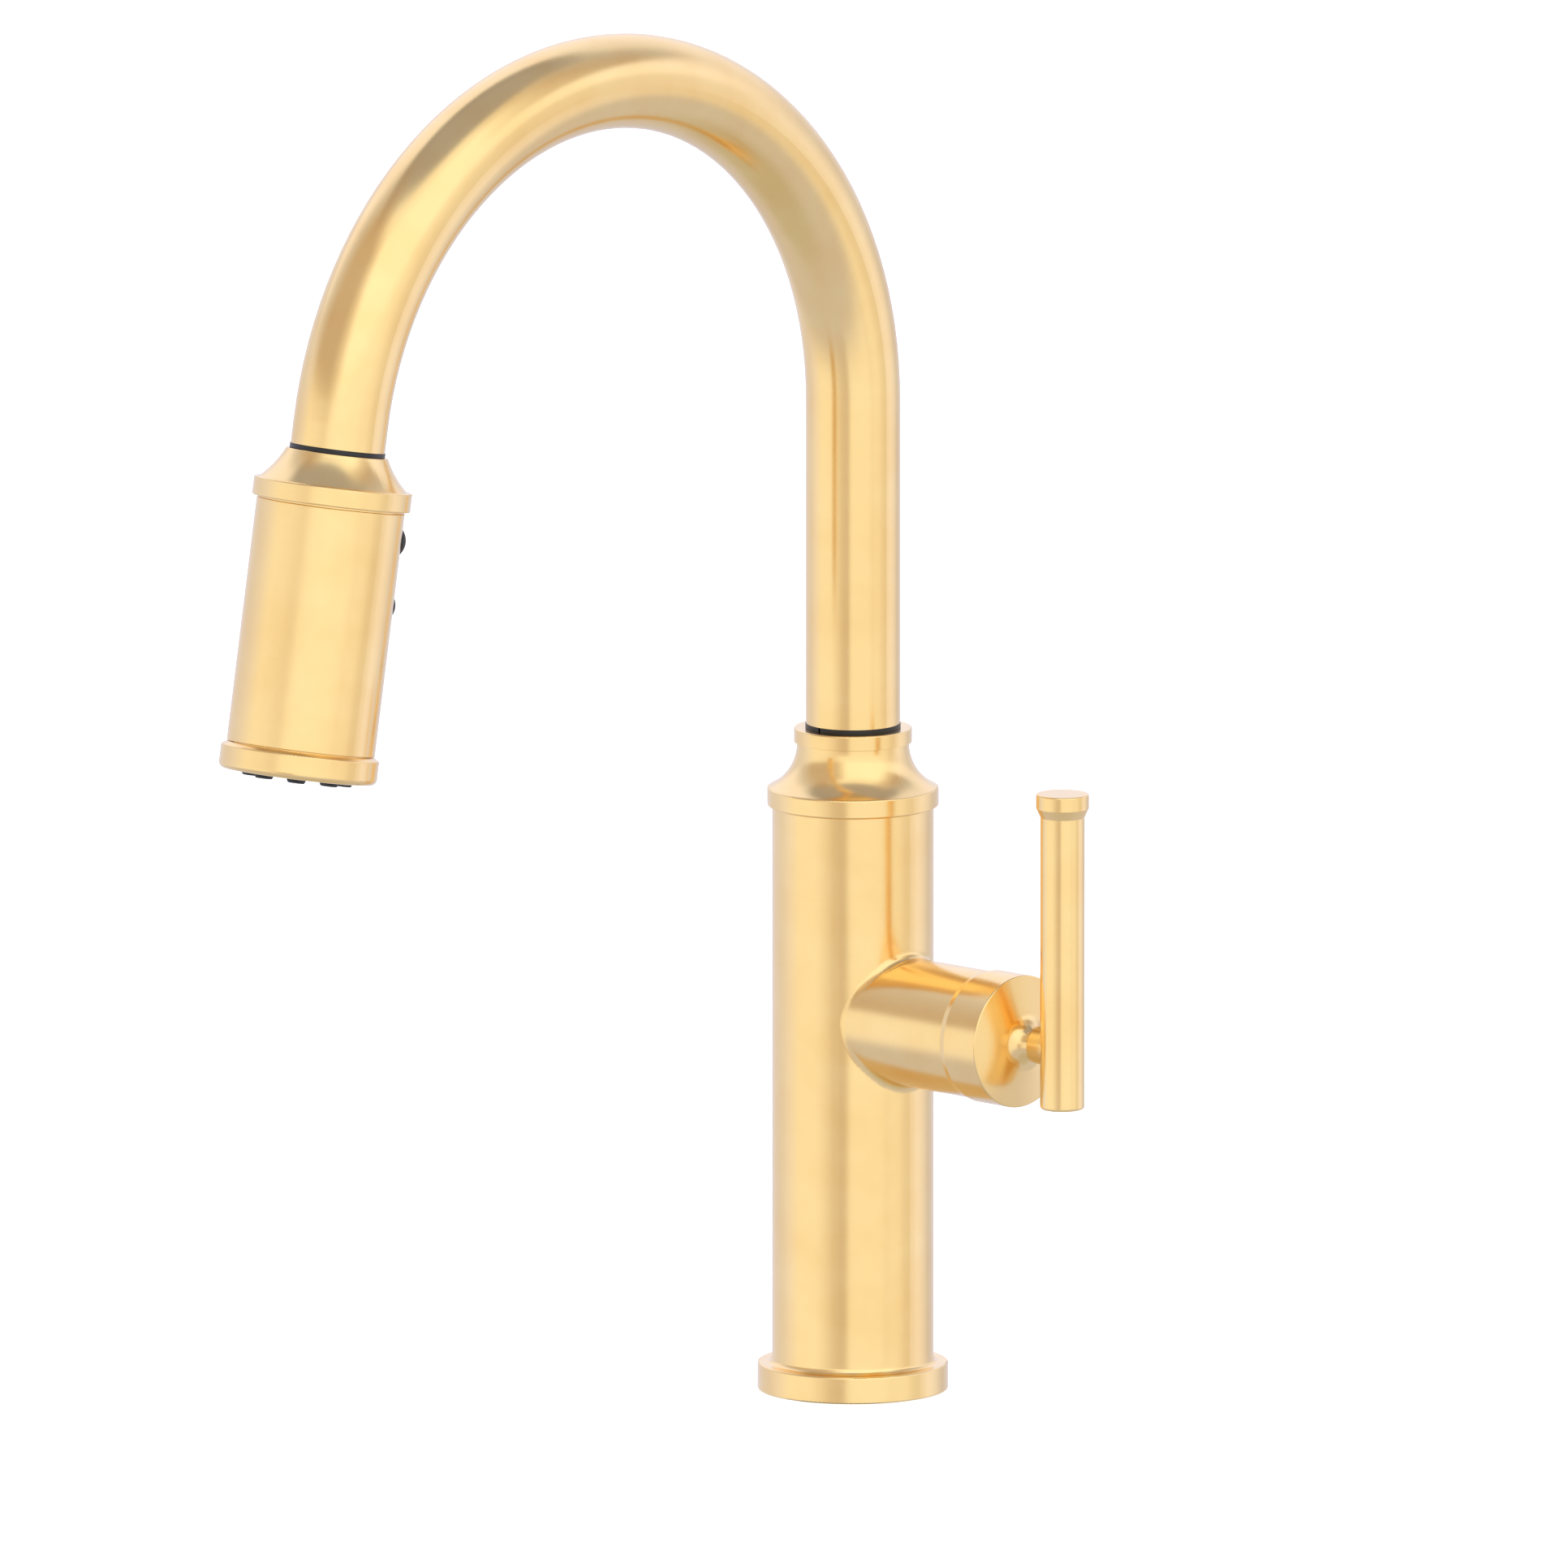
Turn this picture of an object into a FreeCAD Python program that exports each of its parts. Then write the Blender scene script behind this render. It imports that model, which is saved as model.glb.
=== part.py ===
import FreeCAD, Part
import math
import os

# A single-handle, pull-down kitchen faucet with a tall arched spout.
# Millimetres. The origin is on the faucet's upright axis, on the deck that it stands on.
# +Z is up, the spout reaches over the sink towards -Y, and the handle is on the +X side.

V = FreeCAD.Vector
UP = V(0, 0, 1)

# ---- Fits --------------------------------------------------------------------------------
SEAT_GAP = 0.05       # radial, between pieces that are screwed or pushed together
RUN_GAP = 0.05        # radial, between pieces that turn or slide in each other
END_GAP = 0.05        # along the axis, between a ring and its groove
FREE_GAP = 0.30       # between pieces that pass each other without touching
DOME_GAP = 0.20       # between the handle's cap and the dome that it slides over
CUT = 1.0             # how far a cutting shape runs past the faces that it cuts

# ---- Body --------------------------------------------------------------------------------
BODY_R = 24.5
BODY_WALL = 2.5
BODY_TOP = 179.6
SEAM_CHAMFER = 0.4
SHOULDER_R = BODY_R + 1.5
SHOULDER_RING_HEIGHT = 5.6
SHOULDER_LEDGE = 0.4           # flat step between the ring and the flare
SHOULDER_SPIGOT_DEPTH = 8.0    # how far the cap's spigot reaches down inside the body
FLARE_SLOPE = 25.0             # degrees from level where the flare leaves the ring
SHOULDER_TOP = 203.4
SOCKET_DEPTH = 45.0            # how far the shoulder's socket reaches below its top
SOCKET_WALL = 3.0
COLLAR_HEIGHT = 4.6

# ---- Base and mounting -------------------------------------------------------------------
FLANGE_R = BODY_R + 4.4
FLANGE_HEIGHT = 8.2
FLANGE_EDGE = 0.6              # rounding of the flange's top edge
COVE_R = 1.8                   # hollow curve from the flange up to the body
SPIGOT_DEPTH = 9.0             # how far the flange's spigot stands up inside the body
GASKET_INSET = 1.5
GASKET_WIDTH = 4.0
GASKET_HEIGHT = 1.6
SHANK_R = BODY_R * 33 / 49
SHANK_WALL = 2.1
SHANK_BELOW_DECK = 66.0
SHANK_COLLAR_RIM = 3.5
SHANK_COLLAR_HEIGHT = 4.0
THREAD_PITCH = 3.0
THREAD_DEPTH = 0.7
THREAD_START = 8.0             # below the deck
DECK_SPACE = 38.0              # thickest deck that the washer clears when the nut is run down
DECK_WASHER_R = SHANK_R + 11.5
DECK_WASHER_HEIGHT = 3.0
STEEL_WASHER_R = SHANK_R + 10.5
STEEL_WASHER_HEIGHT = 1.5
NUT_R = SHANK_R + 8.5
NUT_HEIGHT = 10.0
NUT_NOTCHES = 6
NUT_NOTCH_R = 4.0
NUT_NOTCH_OUT = 2.0            # the notches' centres lie this far outside the nut
CLAMP_SCREW_R = 2.5
CLAMP_SCREW_LENGTH = 22.0
CLAMP_SCREW_COUNT = 3
SCREW_HEAD_HEIGHT = 2.5
SCREW_SLOT_WIDTH = 1.0
SCREW_SLOT_DEPTH = 1.2

# ---- Water tubes and hose ----------------------------------------------------------------
SHANK_BORE_R = SHANK_R - SHANK_WALL
TUBE_R = SHANK_BORE_R * 2 / 9
TUBE_WALL = 0.8
TUBE_CIRCLE = SHANK_BORE_R - TUBE_R - FREE_GAP   # from the faucet's axis to the tubes' axes
TUBE_SPREAD = 60.0                               # degrees between neighbouring tubes
TUBE_SOCKET_DEPTH = 6.0
INLET_END_Z = -112.0
OUTLET_END_Z = -126.0
OUTLET_BEAD_AT = 9.0           # from the outlet tube's end to its bead
OUTLET_BEAD_WIDTH = 2.0
OUTLET_BEAD_RISE = 0.8
NIPPLE_R = TUBE_R + 1.8
NIPPLE_LENGTH = 12.0
NIPPLE_COLLAR_RIM = 1.2
NIPPLE_COLLAR_HEIGHT = 3.0
COUPLING_R = TUBE_CIRCLE - TUBE_R - 0.5
COUPLING_LENGTH = 24.0
COUPLING_TAIL_R = COUPLING_R - 2.2
COUPLING_TAIL_LENGTH = 10.0
COUPLING_GRIP = 8.0            # how far the coupling reaches up over the hose
HOSE_R = COUPLING_R - 1.2
HOSE_WALL = 2.2
HOSE_END_Z = -70.0             # where the hose meets its coupling under the deck
HOSE_PASSAGE_GAP = 1.2         # round the hose, where it passes the valve block

# ---- Handle hub and cartridge, measured along the hub's own axis from the body's axis ----
HUB_Z = 115.7
HUB_R = 19.45
HUB_END = 56.5
HUB_BORE_R = HUB_R - 2.45
HUB_FILLET = min(2.6, 0.52 * (BODY_R - HUB_R))
BLOCK_POCKET_R = HUB_R - 4.55
BLOCK_END_WALL = 8.1           # of the valve block, above and below the cartridge's pocket
BLOCK_POCKET_FLOOR = 14.0
SLEEVE_SHOULDER = 0.6          # outside the body's bore
SLEEVE_R = HUB_BORE_R - FREE_GAP
SLEEVE_BORE_R = BLOCK_POCKET_R - 1.9
SLEEVE_SETBACK = 7.0           # from the hub's end back to the sleeve's end
CARTRIDGE_WALL = 1.6
CARTRIDGE_SETBACK = 4.0        # from the tilting centre back to the cup's rim
BASE_THICKNESS = 4.0           # cartridge base under the fixed disc
BASE_GAP = 0.4
DISC_R = SLEEVE_BORE_R - 2.6
DISC_THICKNESS = 3.2
PORT_R = DISC_R * 0.21
PORT_HEIGHT = DISC_R * 0.337   # hot and cold ports above the hub's axis, outlet port below it
PORT_SIDE = DISC_R * 0.54      # hot and cold ports to the sides of the hub's axis
SEAL_RIM = 1.1
SEAL_DEPTH = 1.6
CHAMBER_SHARE = 0.55           # of the moving disc's radius
CHAMBER_DEPTH = 1.2
DRIVER_PLATE = 2.6             # plastic plate that drives the moving disc
DRIVER_RIM = 2.0
DRIVER_FLOOR = 1.0
TILT_X = 45.0                  # the handle's tilting centre
HANDLE_TILT = 22.0             # degrees, from shut to full flow
CARRIER_NECK_R = SLEEVE_BORE_R - 4.0
CARRIER_STEP = 5.5             # from the tilting centre back to the carrier's shoulder
CARRIER_TOP = 4.0              # past the tilting centre
SWING_HALF = CARRIER_NECK_R - 0.8
PIN_R = 1.5
PIN_HALF = CARRIER_NECK_R - 0.5
STEM_HALF = 3.2                # half the side of the square stem
STEM_FOOT = 4.6                # from the tilting centre back to the square's end
STEM_TIP_R = 2.4
STEM_TIP_ARM = DISC_R * 9 / 10.4   # from the tilting centre to the ball that shifts the disc
STEM_FINGER_R = 1.7
NUT_SLOTS = 4
NUT_SLOT_HALF = 1.2
NUT_SLOT_DEPTH = 1.6
BONNET_WALL = 1.6
BONNET_HOLE_R = HUB_R - 4.95
BONNET_SKIRT = 6.0
DOME_R = math.hypot(HUB_END - TILT_X, HUB_R)
STEM_END = TILT_X + DOME_R + 3.8

# ---- Handle ------------------------------------------------------------------------------
CAP_SEAM = 0.4
CAP_R = HUB_R + 0.75
CAP_LIP_R = HUB_R + 0.3
CAP_CHAMFER = 2.0
CAP_RIM = STEM_END + 0.4
CAP_CONE = 12.0                # degrees, slope of the cap's face
CAP_FACE_ROUND = 5.4
NECK_R = 5.8
NECK_ROOT_R = 4.5
NECK_ROOT_LENGTH = 4.5
BAR_X = CAP_RIM + 17.6
BAR_R = 6.74
BAR_BOTTOM = HUB_Z - 18.4
BAR_TOP = HUB_Z + 78.3
BAR_END_ROUND = 0.9
BAR_TENON_STEP = 1.5           # the bar's end is this much thinner inside the knob
KNOB_R = BAR_R + 1.29
KNOB_HEIGHT = 4.4
KNOB_FLARE = 2.8
KNOB_TOP_WALL = 1.5
STEM_BOSS_R = 6.2
SET_SCREW_R = 1.6
SET_SCREW_BACK = 1.8           # from the stem's end to the screw's axis
SET_SCREW_SUNK = 1.2
KEY_R = 0.9
KEY_DEPTH = 2.0

# ---- Spout -------------------------------------------------------------------------------
SPOUT_R = 14.3
SPOUT_WALL = 1.2
RING_HEIGHT = 1.4
RING_R = SPOUT_R + 0.15
RING_SPLIT = 0.8
STRAIGHT_TOP = 304.2
BEND_R = 109.7
BEND_ANGLE = 170.0
TAIL_LENGTH = 7.7
SPIGOT_R = SPOUT_R - 0.9
SPIGOT_BORE_R = SPIGOT_R - 2.6
SPIGOT_INTO_TUBE = 18.0
SPIGOT_BELOW_CLIP = 1.0
SHOULDER_NECK_R = SPOUT_R + 2.7
COLLAR_R = SHOULDER_NECK_R + 0.9
COLLAR_SLOPE = 0.3
BEARING_AT = 2.0               # above the socket's lower end
BEARING_HEIGHT = 6.0
BEARING_WALL = 0.8
BEARING_SPLIT = 1.5
CLIP_HEIGHT = 1.2
CLIP_SUNK = 1.0
CLIP_PROUD = 1.6
CLIP_MOUTH = 5.0
SEAL_AT_DEPTH = 16.0           # below the socket's top
SEAL_HEIGHT = 2.4
SEAL_SUNK = 1.4

# ---- Spray head, measured along its own axis from the spout's end -------------------------
DOCK_RIM = 1.5
DOCK_INSET = 0.2               # the dock stops this far short of the bend
DOCK_WALL = 1.6
MAGNET_HEIGHT = 4.0
MAGNET_SETBACK = 3.0
MAGNET_WALL = 1.4
HEAD_GAP = 0.1
HEAD_R = SPOUT_R + 8.12
HEAD_TOP_R = SPOUT_R + 1.1
HEAD_FLARE_START = 26.5        # degrees from the axis
HEAD_FLARE_END = 46.0
HEAD_FLARE_OUT_R = HEAD_R - 0.12
HEAD_FLARE_LEDGE = 0.2
HEAD_RING_R = HEAD_R + 1.53
HEAD_RING_TOP = 11.1
HEAD_RING_END = 16.8
HEAD_WALL = 1.8
HEAD_SEAM = 0.5
SEAM_DEPTH = 1.0
SHELL_END = 91.0
BEZEL_R = HEAD_R + 1.53
BEZEL_END = 99.5
BEZEL_ROUND = 1.8
BEZEL_WALL = 3.0
BEZEL_SEAM = 0.3
BEZEL_SLOPE = 1.0
FACE_RECESS = 0.5
FACE_THICKNESS = 2.4
NOZZLE_COUNT = 8
NOZZLE_CIRCLE = HEAD_R * 0.62
NOZZLE_FIRST = 10.0            # degrees past square to the buttons
NOZZLE_R = 2.85
NOZZLE_PROUD = 1.9
NOZZLE_BORE_R = 0.9
NOZZLE_TIP_HEIGHT = 0.7
NOZZLE_TIP_STEP = 0.35
MAT_THICKNESS = 1.5
MAT_RIM = 1.2
AERATOR_R = 8.0
AERATOR_WALL = 1.4
AERATOR_PROUD = 0.3
AERATOR_DISH = 1.2
AERATOR_FLOOR = 3.0
AERATOR_HOLE_R = 0.6
AERATOR_RINGS = 2
AERATOR_PITCH = 2.5            # between the rings of holes
CHAMBER_HEIGHT = 4.0           # from the diffuser plate to the spray face
CORE_GAP = 1.3                 # between the waterway and the grip's inside
MAGNET_RING_WALL = 1.2
MAGNET_RING_HEIGHT = 5.0
CORE_TOP = 22.0
INLET_NECK = 10.0              # where the inlet starts to widen
INLET_RIM = 3.0
SEAL_AT = 14.0
SEAL_LENGTH = 2.0
SEAL_SECTION = 1.25
TAIL_RISE = 6.0                # how far the hose's end fitting stands up inside the spout
TAIL_FLANGE = 5.0
TAIL_R = HOSE_R - 0.6
STEM_BORE_R = HOSE_R - 2.6
TAIL_REACH = 21.0
FERRULE_LENGTH = 14.0
FERRULE_WALL = 1.0
BUTTON_AZIMUTH = -54.0         # degrees from the head's own X towards its Y
SPRAY_BUTTON_AT = 26.0
STREAM_BUTTON_AT = 45.6
BUTTON_R = 3.9
BUTTON_DOME = 1.5
BUTTON_PROUD_OUT = 1.6
BUTTON_PROUD_IN = 0.85
BUTTON_GAP = 0.1
BUTTON_SHANK_R = 2.0
BUTTON_HEAD_DEPTH = 4.5
BUTTON_SHANK_DEPTH = 2.2
ROCKER_WIDTH = 3.0
ROCKER_THICKNESS = 1.6
ROCKER_PAST_BUTTON = 2.0
ROCKER_PIN_R = 0.9
ROCKER_PIN_IN_WALL = 2.5
BAY_FLOOR_GAP = 1.6            # under the rocker
CORE_INLET_DEPTH = 12.0
CORE_CHANNEL_R = 2.5
CORE_CHANNEL_CIRCLE = 9.5
CORE_OUTLET_DEPTH = 20.0
SKIRT_LENGTH = 5.0             # the bezel's sleeve inside the grip
SKIRT_WALL = 1.6


# ---- Worked-out places -------------------------------------------------------------------
BODY_BORE_R = BODY_R - BODY_WALL
BODY_BOTTOM = FLANGE_HEIGHT + COVE_R
SPOUT_BOTTOM = SHOULDER_TOP + RING_HEIGHT
SOCKET_R = SPIGOT_R + RUN_GAP
SOCKET_BOTTOM = SHOULDER_TOP - SOCKET_DEPTH
SPOUT_BORE_R = SPOUT_R - SPOUT_WALL
BLOCK_BOTTOM = HUB_Z - BLOCK_POCKET_R - BLOCK_END_WALL
BLOCK_TOP = HUB_Z + BLOCK_POCKET_R + BLOCK_END_WALL
HOSE_PASSAGE_R = HOSE_R + HOSE_PASSAGE_GAP
BEND_CENTRE = V(0, -BEND_R, STRAIGHT_TOP)
DISC_PLANE = BLOCK_POCKET_FLOOR + BASE_THICKNESS + DISC_THICKNESS
DISC_SHIFT = STEM_TIP_ARM * math.radians(HANDLE_TILT)
BUTTON_TRAVEL = BUTTON_PROUD_OUT - BUTTON_PROUD_IN
ROCKER_AT = (SPRAY_BUTTON_AT + STREAM_BUTTON_AT) / 2
SHELL_BORE_R = HEAD_R - HEAD_WALL
DOCK_R = SPOUT_BORE_R - SEAT_GAP
MAGNET_R = DOCK_R - DOCK_WALL - SEAT_GAP
INLET_R = MAGNET_R - MAGNET_WALL - MAGNET_RING_WALL - FREE_GAP - 0.1
NUT_FACE_R = INLET_R - 1.0
INLET_TOP = -TAIL_RISE + TAIL_FLANGE + FREE_GAP
FACE_LOW = BEZEL_END - FACE_RECESS - FACE_THICKNESS
CHAMBER_TOP = FACE_LOW - CHAMBER_HEIGHT
CORE_BOTTOM = SHELL_END - SKIRT_LENGTH - 0.2


# ---- Shape helpers -----------------------------------------------------------------------
NEARLY = 0.98         # a curve that ends this near its side's end leaves a short straight piece


def corner_arc(before, corner, after, radius):
    """The arc that rounds a corner, and the two points where it meets the straight sides."""
    to_before = (before - corner).normalize()
    to_after = (after - corner).normalize()
    half = to_before.getAngle(to_after) / 2
    reach = radius / math.tan(half)
    start = corner + to_before * reach
    end = corner + to_after * reach
    inward = (to_before + to_after).normalize()
    middle = corner + inward * (radius / math.sin(half) - radius)
    return start, middle, end


def outline_face(corners):
    """A flat face from (x, z) corners; a third number rounds that corner."""
    points = [V(c[0], 0, c[1]) for c in corners]
    rounds = [c[2] if len(c) > 2 else 0 for c in corners]
    edges = []
    first = None
    last = None
    for i, point in enumerate(points):
        start = end = point
        arc = None
        if rounds[i]:
            start, middle, end = corner_arc(points[i - 1], point, points[(i + 1) % len(points)], rounds[i])
            arc = Part.Arc(start, middle, end).toShape()
        if last is None:
            first = start
        elif last.distanceToPoint(start) > 1e-6:
            edges.append(Part.LineSegment(last, start).toShape())
        if arc:
            edges.append(arc)
        last = end
    if last.distanceToPoint(first) > 1e-6:
        edges.append(Part.LineSegment(last, first).toShape())
    return Part.Face(Part.Wire(edges))


def turned(corners):
    """A solid of revolution about +Z from (radius, height) corners."""
    return outline_face(corners).revolve(V(0, 0, 0), UP, 360)


def cylinder(radius, low, high):
    return Part.makeCylinder(radius, high - low, V(0, 0, low))


def ring(outer, inner, low, high):
    return cylinder(outer, low, high).cut(cylinder(inner, low - CUT, high + CUT))


def box(low, high):
    size = V(*high) - V(*low)
    return Part.makeBox(size.x, size.y, size.z, V(*low))


def joined(first, *others):
    return first.fuse(list(others)).removeSplitter()


def polar(radius, degrees, height=0.0):
    angle = math.radians(degrees)
    return V(radius * math.cos(angle), radius * math.sin(angle), height)


def placed(shape, placement):
    moved = shape.copy()
    moved.transformShape(placement.toMatrix(), True)
    return moved


def on_hub(shape):
    """Turn a shape made along +Z so that it lies along the handle hub's axis."""
    return placed(shape, FreeCAD.Placement(V(0, 0, HUB_Z), FreeCAD.Rotation(V(0, 1, 0), 90)))


def spout_end():
    """The centre of the spout tube's open end."""
    angle = math.radians(BEND_ANGLE)
    bend_end = BEND_CENTRE + V(0, BEND_R * math.cos(angle), BEND_R * math.sin(angle))
    return bend_end + head_axis() * TAIL_LENGTH


def head_axis():
    angle = math.radians(BEND_ANGLE)
    return V(0, -math.sin(angle), math.cos(angle))


def on_head(shape):
    """Turn a shape made along +Z so that it hangs from the spout's end along the head's axis."""
    return placed(shape, FreeCAD.Placement(spout_end(), FreeCAD.Rotation(V(1, 0, 0), BEND_ANGLE)))


def arched_rod(radius, low, tail):
    """A round rod up the faucet's axis, over the arch, and on past the bend by the tail's length."""
    rise = cylinder(radius, low, STRAIGHT_TOP)
    circle = Part.Face(Part.Wire(Part.makeCircle(radius, V(0, 0, STRAIGHT_TOP), UP)))
    bend = circle.revolve(BEND_CENTRE, V(1, 0, 0), BEND_ANGLE)
    straight = on_head(cylinder(radius, -TAIL_LENGTH, tail - TAIL_LENGTH))
    return joined(rise, bend, straight)


# ---- Base and mounting -------------------------------------------------------------------
def base_flange():
    spigot_r = BODY_BORE_R - SEAT_GAP
    body = turned([
        (SHANK_R + SEAT_GAP, 0),
        (FLANGE_R, 0, 0.4),
        (FLANGE_R, FLANGE_HEIGHT, FLANGE_EDGE),
        (BODY_R, FLANGE_HEIGHT, COVE_R * NEARLY),
        (BODY_R, BODY_BOTTOM),
        (spigot_r, BODY_BOTTOM),
        (spigot_r, BODY_BOTTOM + SPIGOT_DEPTH, 0.6),
        (SHANK_R + SEAT_GAP, BODY_BOTTOM + SPIGOT_DEPTH),
    ])
    return body.cut(gasket_groove())


def gasket_groove():
    outer = FLANGE_R - GASKET_INSET
    return ring(outer, outer - GASKET_WIDTH, 0, GASKET_HEIGHT)


def base_gasket():
    return gasket_groove()


def mounting_shank():
    """A threaded tube through the deck; a hexagonal collar seats it on the flange's spigot."""
    top = BODY_BOTTOM + SPIGOT_DEPTH
    collar_top = top + SHANK_COLLAR_HEIGHT
    collar = hexagon(SHANK_R + SHANK_COLLAR_RIM, top, collar_top)
    barrel = cylinder(SHANK_R, -SHANK_BELOW_DECK, top)
    shank = joined(barrel, collar)
    shank = shank.cut(cylinder(SHANK_BORE_R, -SHANK_BELOW_DECK - CUT, collar_top + CUT))
    grooves = int((SHANK_BELOW_DECK - THREAD_START - THREAD_PITCH) / THREAD_PITCH)
    for i in range(grooves):
        shank = shank.cut(thread_groove(-THREAD_START - (i + 0.5) * THREAD_PITCH))
    return shank


def thread_groove(z):
    """One V of the coarse mounting thread, drawn as a plain ring."""
    half = THREAD_PITCH / 3
    outside = SHANK_R + THREAD_DEPTH / 3
    return turned([(SHANK_R - THREAD_DEPTH, z), (outside, z - half), (outside, z + half)])


def hexagon(across_corners_r, low, high):
    points = [polar(across_corners_r, 60 * i, low) for i in range(7)]
    return Part.Face(Part.makePolygon(points)).extrude(V(0, 0, high - low))


def deck_washer():
    top = -DECK_SPACE
    return turned([
        (SHANK_R + FREE_GAP, top - DECK_WASHER_HEIGHT),
        (DECK_WASHER_R, top - DECK_WASHER_HEIGHT, 0.8),
        (DECK_WASHER_R, top, 0.8),
        (SHANK_R + FREE_GAP, top),
    ])


def steel_washer():
    top = -DECK_SPACE - DECK_WASHER_HEIGHT
    return ring(STEEL_WASHER_R, SHANK_R + FREE_GAP, top - STEEL_WASHER_HEIGHT, top)


def nut_top():
    return -DECK_SPACE - DECK_WASHER_HEIGHT - STEEL_WASHER_HEIGHT


def mounting_nut():
    top = nut_top()
    nut = ring(NUT_R, SHANK_R + SEAT_GAP, top - NUT_HEIGHT, top)
    for i in range(NUT_NOTCHES):
        notch = cylinder(NUT_NOTCH_R, top - NUT_HEIGHT - CUT, top + CUT)
        notch.translate(polar(NUT_R + NUT_NOTCH_OUT, 360.0 * (i + 0.5) / NUT_NOTCHES))
        nut = nut.cut(notch)
    for i in range(CLAMP_SCREW_COUNT):
        hole = cylinder(CLAMP_SCREW_R + SEAT_GAP, top - NUT_HEIGHT - CUT, top + CUT)
        hole.translate(clamp_screw_place(i))
        nut = nut.cut(hole)
    return nut


def clamp_screw_place(i):
    return polar((SHANK_R + NUT_R) / 2, 360.0 * i / CLAMP_SCREW_COUNT)


def clamp_screws():
    """Screws through the nut that press the steel washer up under the deck."""
    screws = []
    for i in range(CLAMP_SCREW_COUNT):
        bottom = nut_top() - CLAMP_SCREW_LENGTH
        head_r = CLAMP_SCREW_R * 1.5
        head_end = bottom - SCREW_HEAD_HEIGHT
        shaft = cylinder(CLAMP_SCREW_R, bottom, nut_top())
        head = cylinder(head_r, head_end, bottom)
        slot_low = (-head_r - CUT, -SCREW_SLOT_WIDTH / 2, head_end - CUT)
        slot = box(slot_low, (head_r + CUT, SCREW_SLOT_WIDTH / 2, head_end + SCREW_SLOT_DEPTH))
        screw = joined(shaft, head).cut(slot)
        screw.translate(clamp_screw_place(i))
        screws.append(screw)
    return Part.makeCompound(screws)


# ---- Body --------------------------------------------------------------------------------
def body_shell():
    tube = turned([
        (0, BODY_BOTTOM),
        (BODY_R, BODY_BOTTOM),
        (BODY_R, BODY_TOP - SEAM_CHAMFER),
        (BODY_R - SEAM_CHAMFER, BODY_TOP),
        (0, BODY_TOP),
    ])
    hub = on_hub(cylinder(HUB_R, 0, HUB_END))
    outside = tube.fuse(hub).removeSplitter()
    outside = outside.makeFillet(HUB_FILLET, [hub_seam(outside)])
    bore = cylinder(BODY_BORE_R, BODY_BOTTOM - CUT, BODY_TOP + CUT)
    hub_bore = on_hub(cylinder(HUB_BORE_R, 0, HUB_END + CUT))
    return outside.cut(bore).cut(hub_bore)


def hub_seam(solid):
    """The saddle-shaped edge where the hub leaves the body."""
    def is_seam(edge):
        box_of = edge.BoundBox
        return box_of.XMin > 1 and box_of.XMax < BODY_R + 1 and abs(box_of.ZLength - 2 * HUB_R) < 0.5
    return [edge for edge in solid.Edges if is_seam(edge)][0]


def shoulder_cap():
    """The cap on the body: a ring, a hollow flare and a collar, with the spout's socket inside."""
    ring_top = BODY_TOP + SHOULDER_RING_HEIGHT
    flare_out = SHOULDER_R - SHOULDER_LEDGE
    flare_corner = ring_top + (flare_out - SHOULDER_NECK_R) * math.tan(math.radians(FLARE_SLOPE))
    collar_bottom = SHOULDER_TOP - COLLAR_HEIGHT
    spigot_r = BODY_BORE_R - SEAT_GAP
    socket_outer = SOCKET_R + SOCKET_WALL
    spigot_low = BODY_TOP - SHOULDER_SPIGOT_DEPTH
    flare_r = (collar_bottom - flare_corner) / math.tan(math.radians((90 - FLARE_SLOPE) / 2))
    return turned([
        (SOCKET_R, SOCKET_BOTTOM),
        (socket_outer, SOCKET_BOTTOM),
        (socket_outer, spigot_low),
        (spigot_r, spigot_low),
        (spigot_r, BODY_TOP),
        (SHOULDER_R, BODY_TOP, 0.4),
        (SHOULDER_R, ring_top, 0.5),
        (flare_out, ring_top),
        (SHOULDER_NECK_R, flare_corner, flare_r * NEARLY),
        (SHOULDER_NECK_R, collar_bottom),
        (COLLAR_R, collar_bottom + COLLAR_SLOPE),
        (COLLAR_R, SHOULDER_TOP, 0.4),
        (SOCKET_R, SHOULDER_TOP),
    ])


def tube_angles():
    return {"cold": -TUBE_SPREAD, "outlet": 0.0, "hot": TUBE_SPREAD}


def valve_block():
    """The brass waterway inside the body. The hose passes up its middle."""
    block_r = BODY_BORE_R - 2 * SEAT_GAP
    block = ring(block_r, HOSE_PASSAGE_R, BLOCK_BOTTOM, BLOCK_TOP)
    pocket = on_hub(cylinder(BLOCK_POCKET_R, BLOCK_POCKET_FLOOR, BODY_R + CUT))
    block = block.cut(pocket)
    for name, angle in tube_angles().items():
        top = HUB_Z + port_height(name)
        place = polar(TUBE_CIRCLE, angle)
        rise = cylinder(PORT_R, BLOCK_BOTTOM - CUT, top + PORT_R)
        rise.translate(place)
        start = V(place.x, place.y, top)
        way = V(BLOCK_POCKET_FLOOR, port_side(name), top) - start
        across = Part.makeCylinder(PORT_R, way.Length + CUT, start, way)
        socket = cylinder(TUBE_R + SEAT_GAP, BLOCK_BOTTOM - CUT, BLOCK_BOTTOM + TUBE_SOCKET_DEPTH)
        socket.translate(place)
        block = block.cut(rise.fuse([across, socket]))
    return block


def port_height(name):
    return -PORT_HEIGHT if name == "outlet" else PORT_HEIGHT


def water_tube(angle, bottom):
    tube = ring(TUBE_R, TUBE_R - TUBE_WALL, bottom, BLOCK_BOTTOM + TUBE_SOCKET_DEPTH)
    tube.translate(polar(TUBE_CIRCLE, angle))
    return tube


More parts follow.
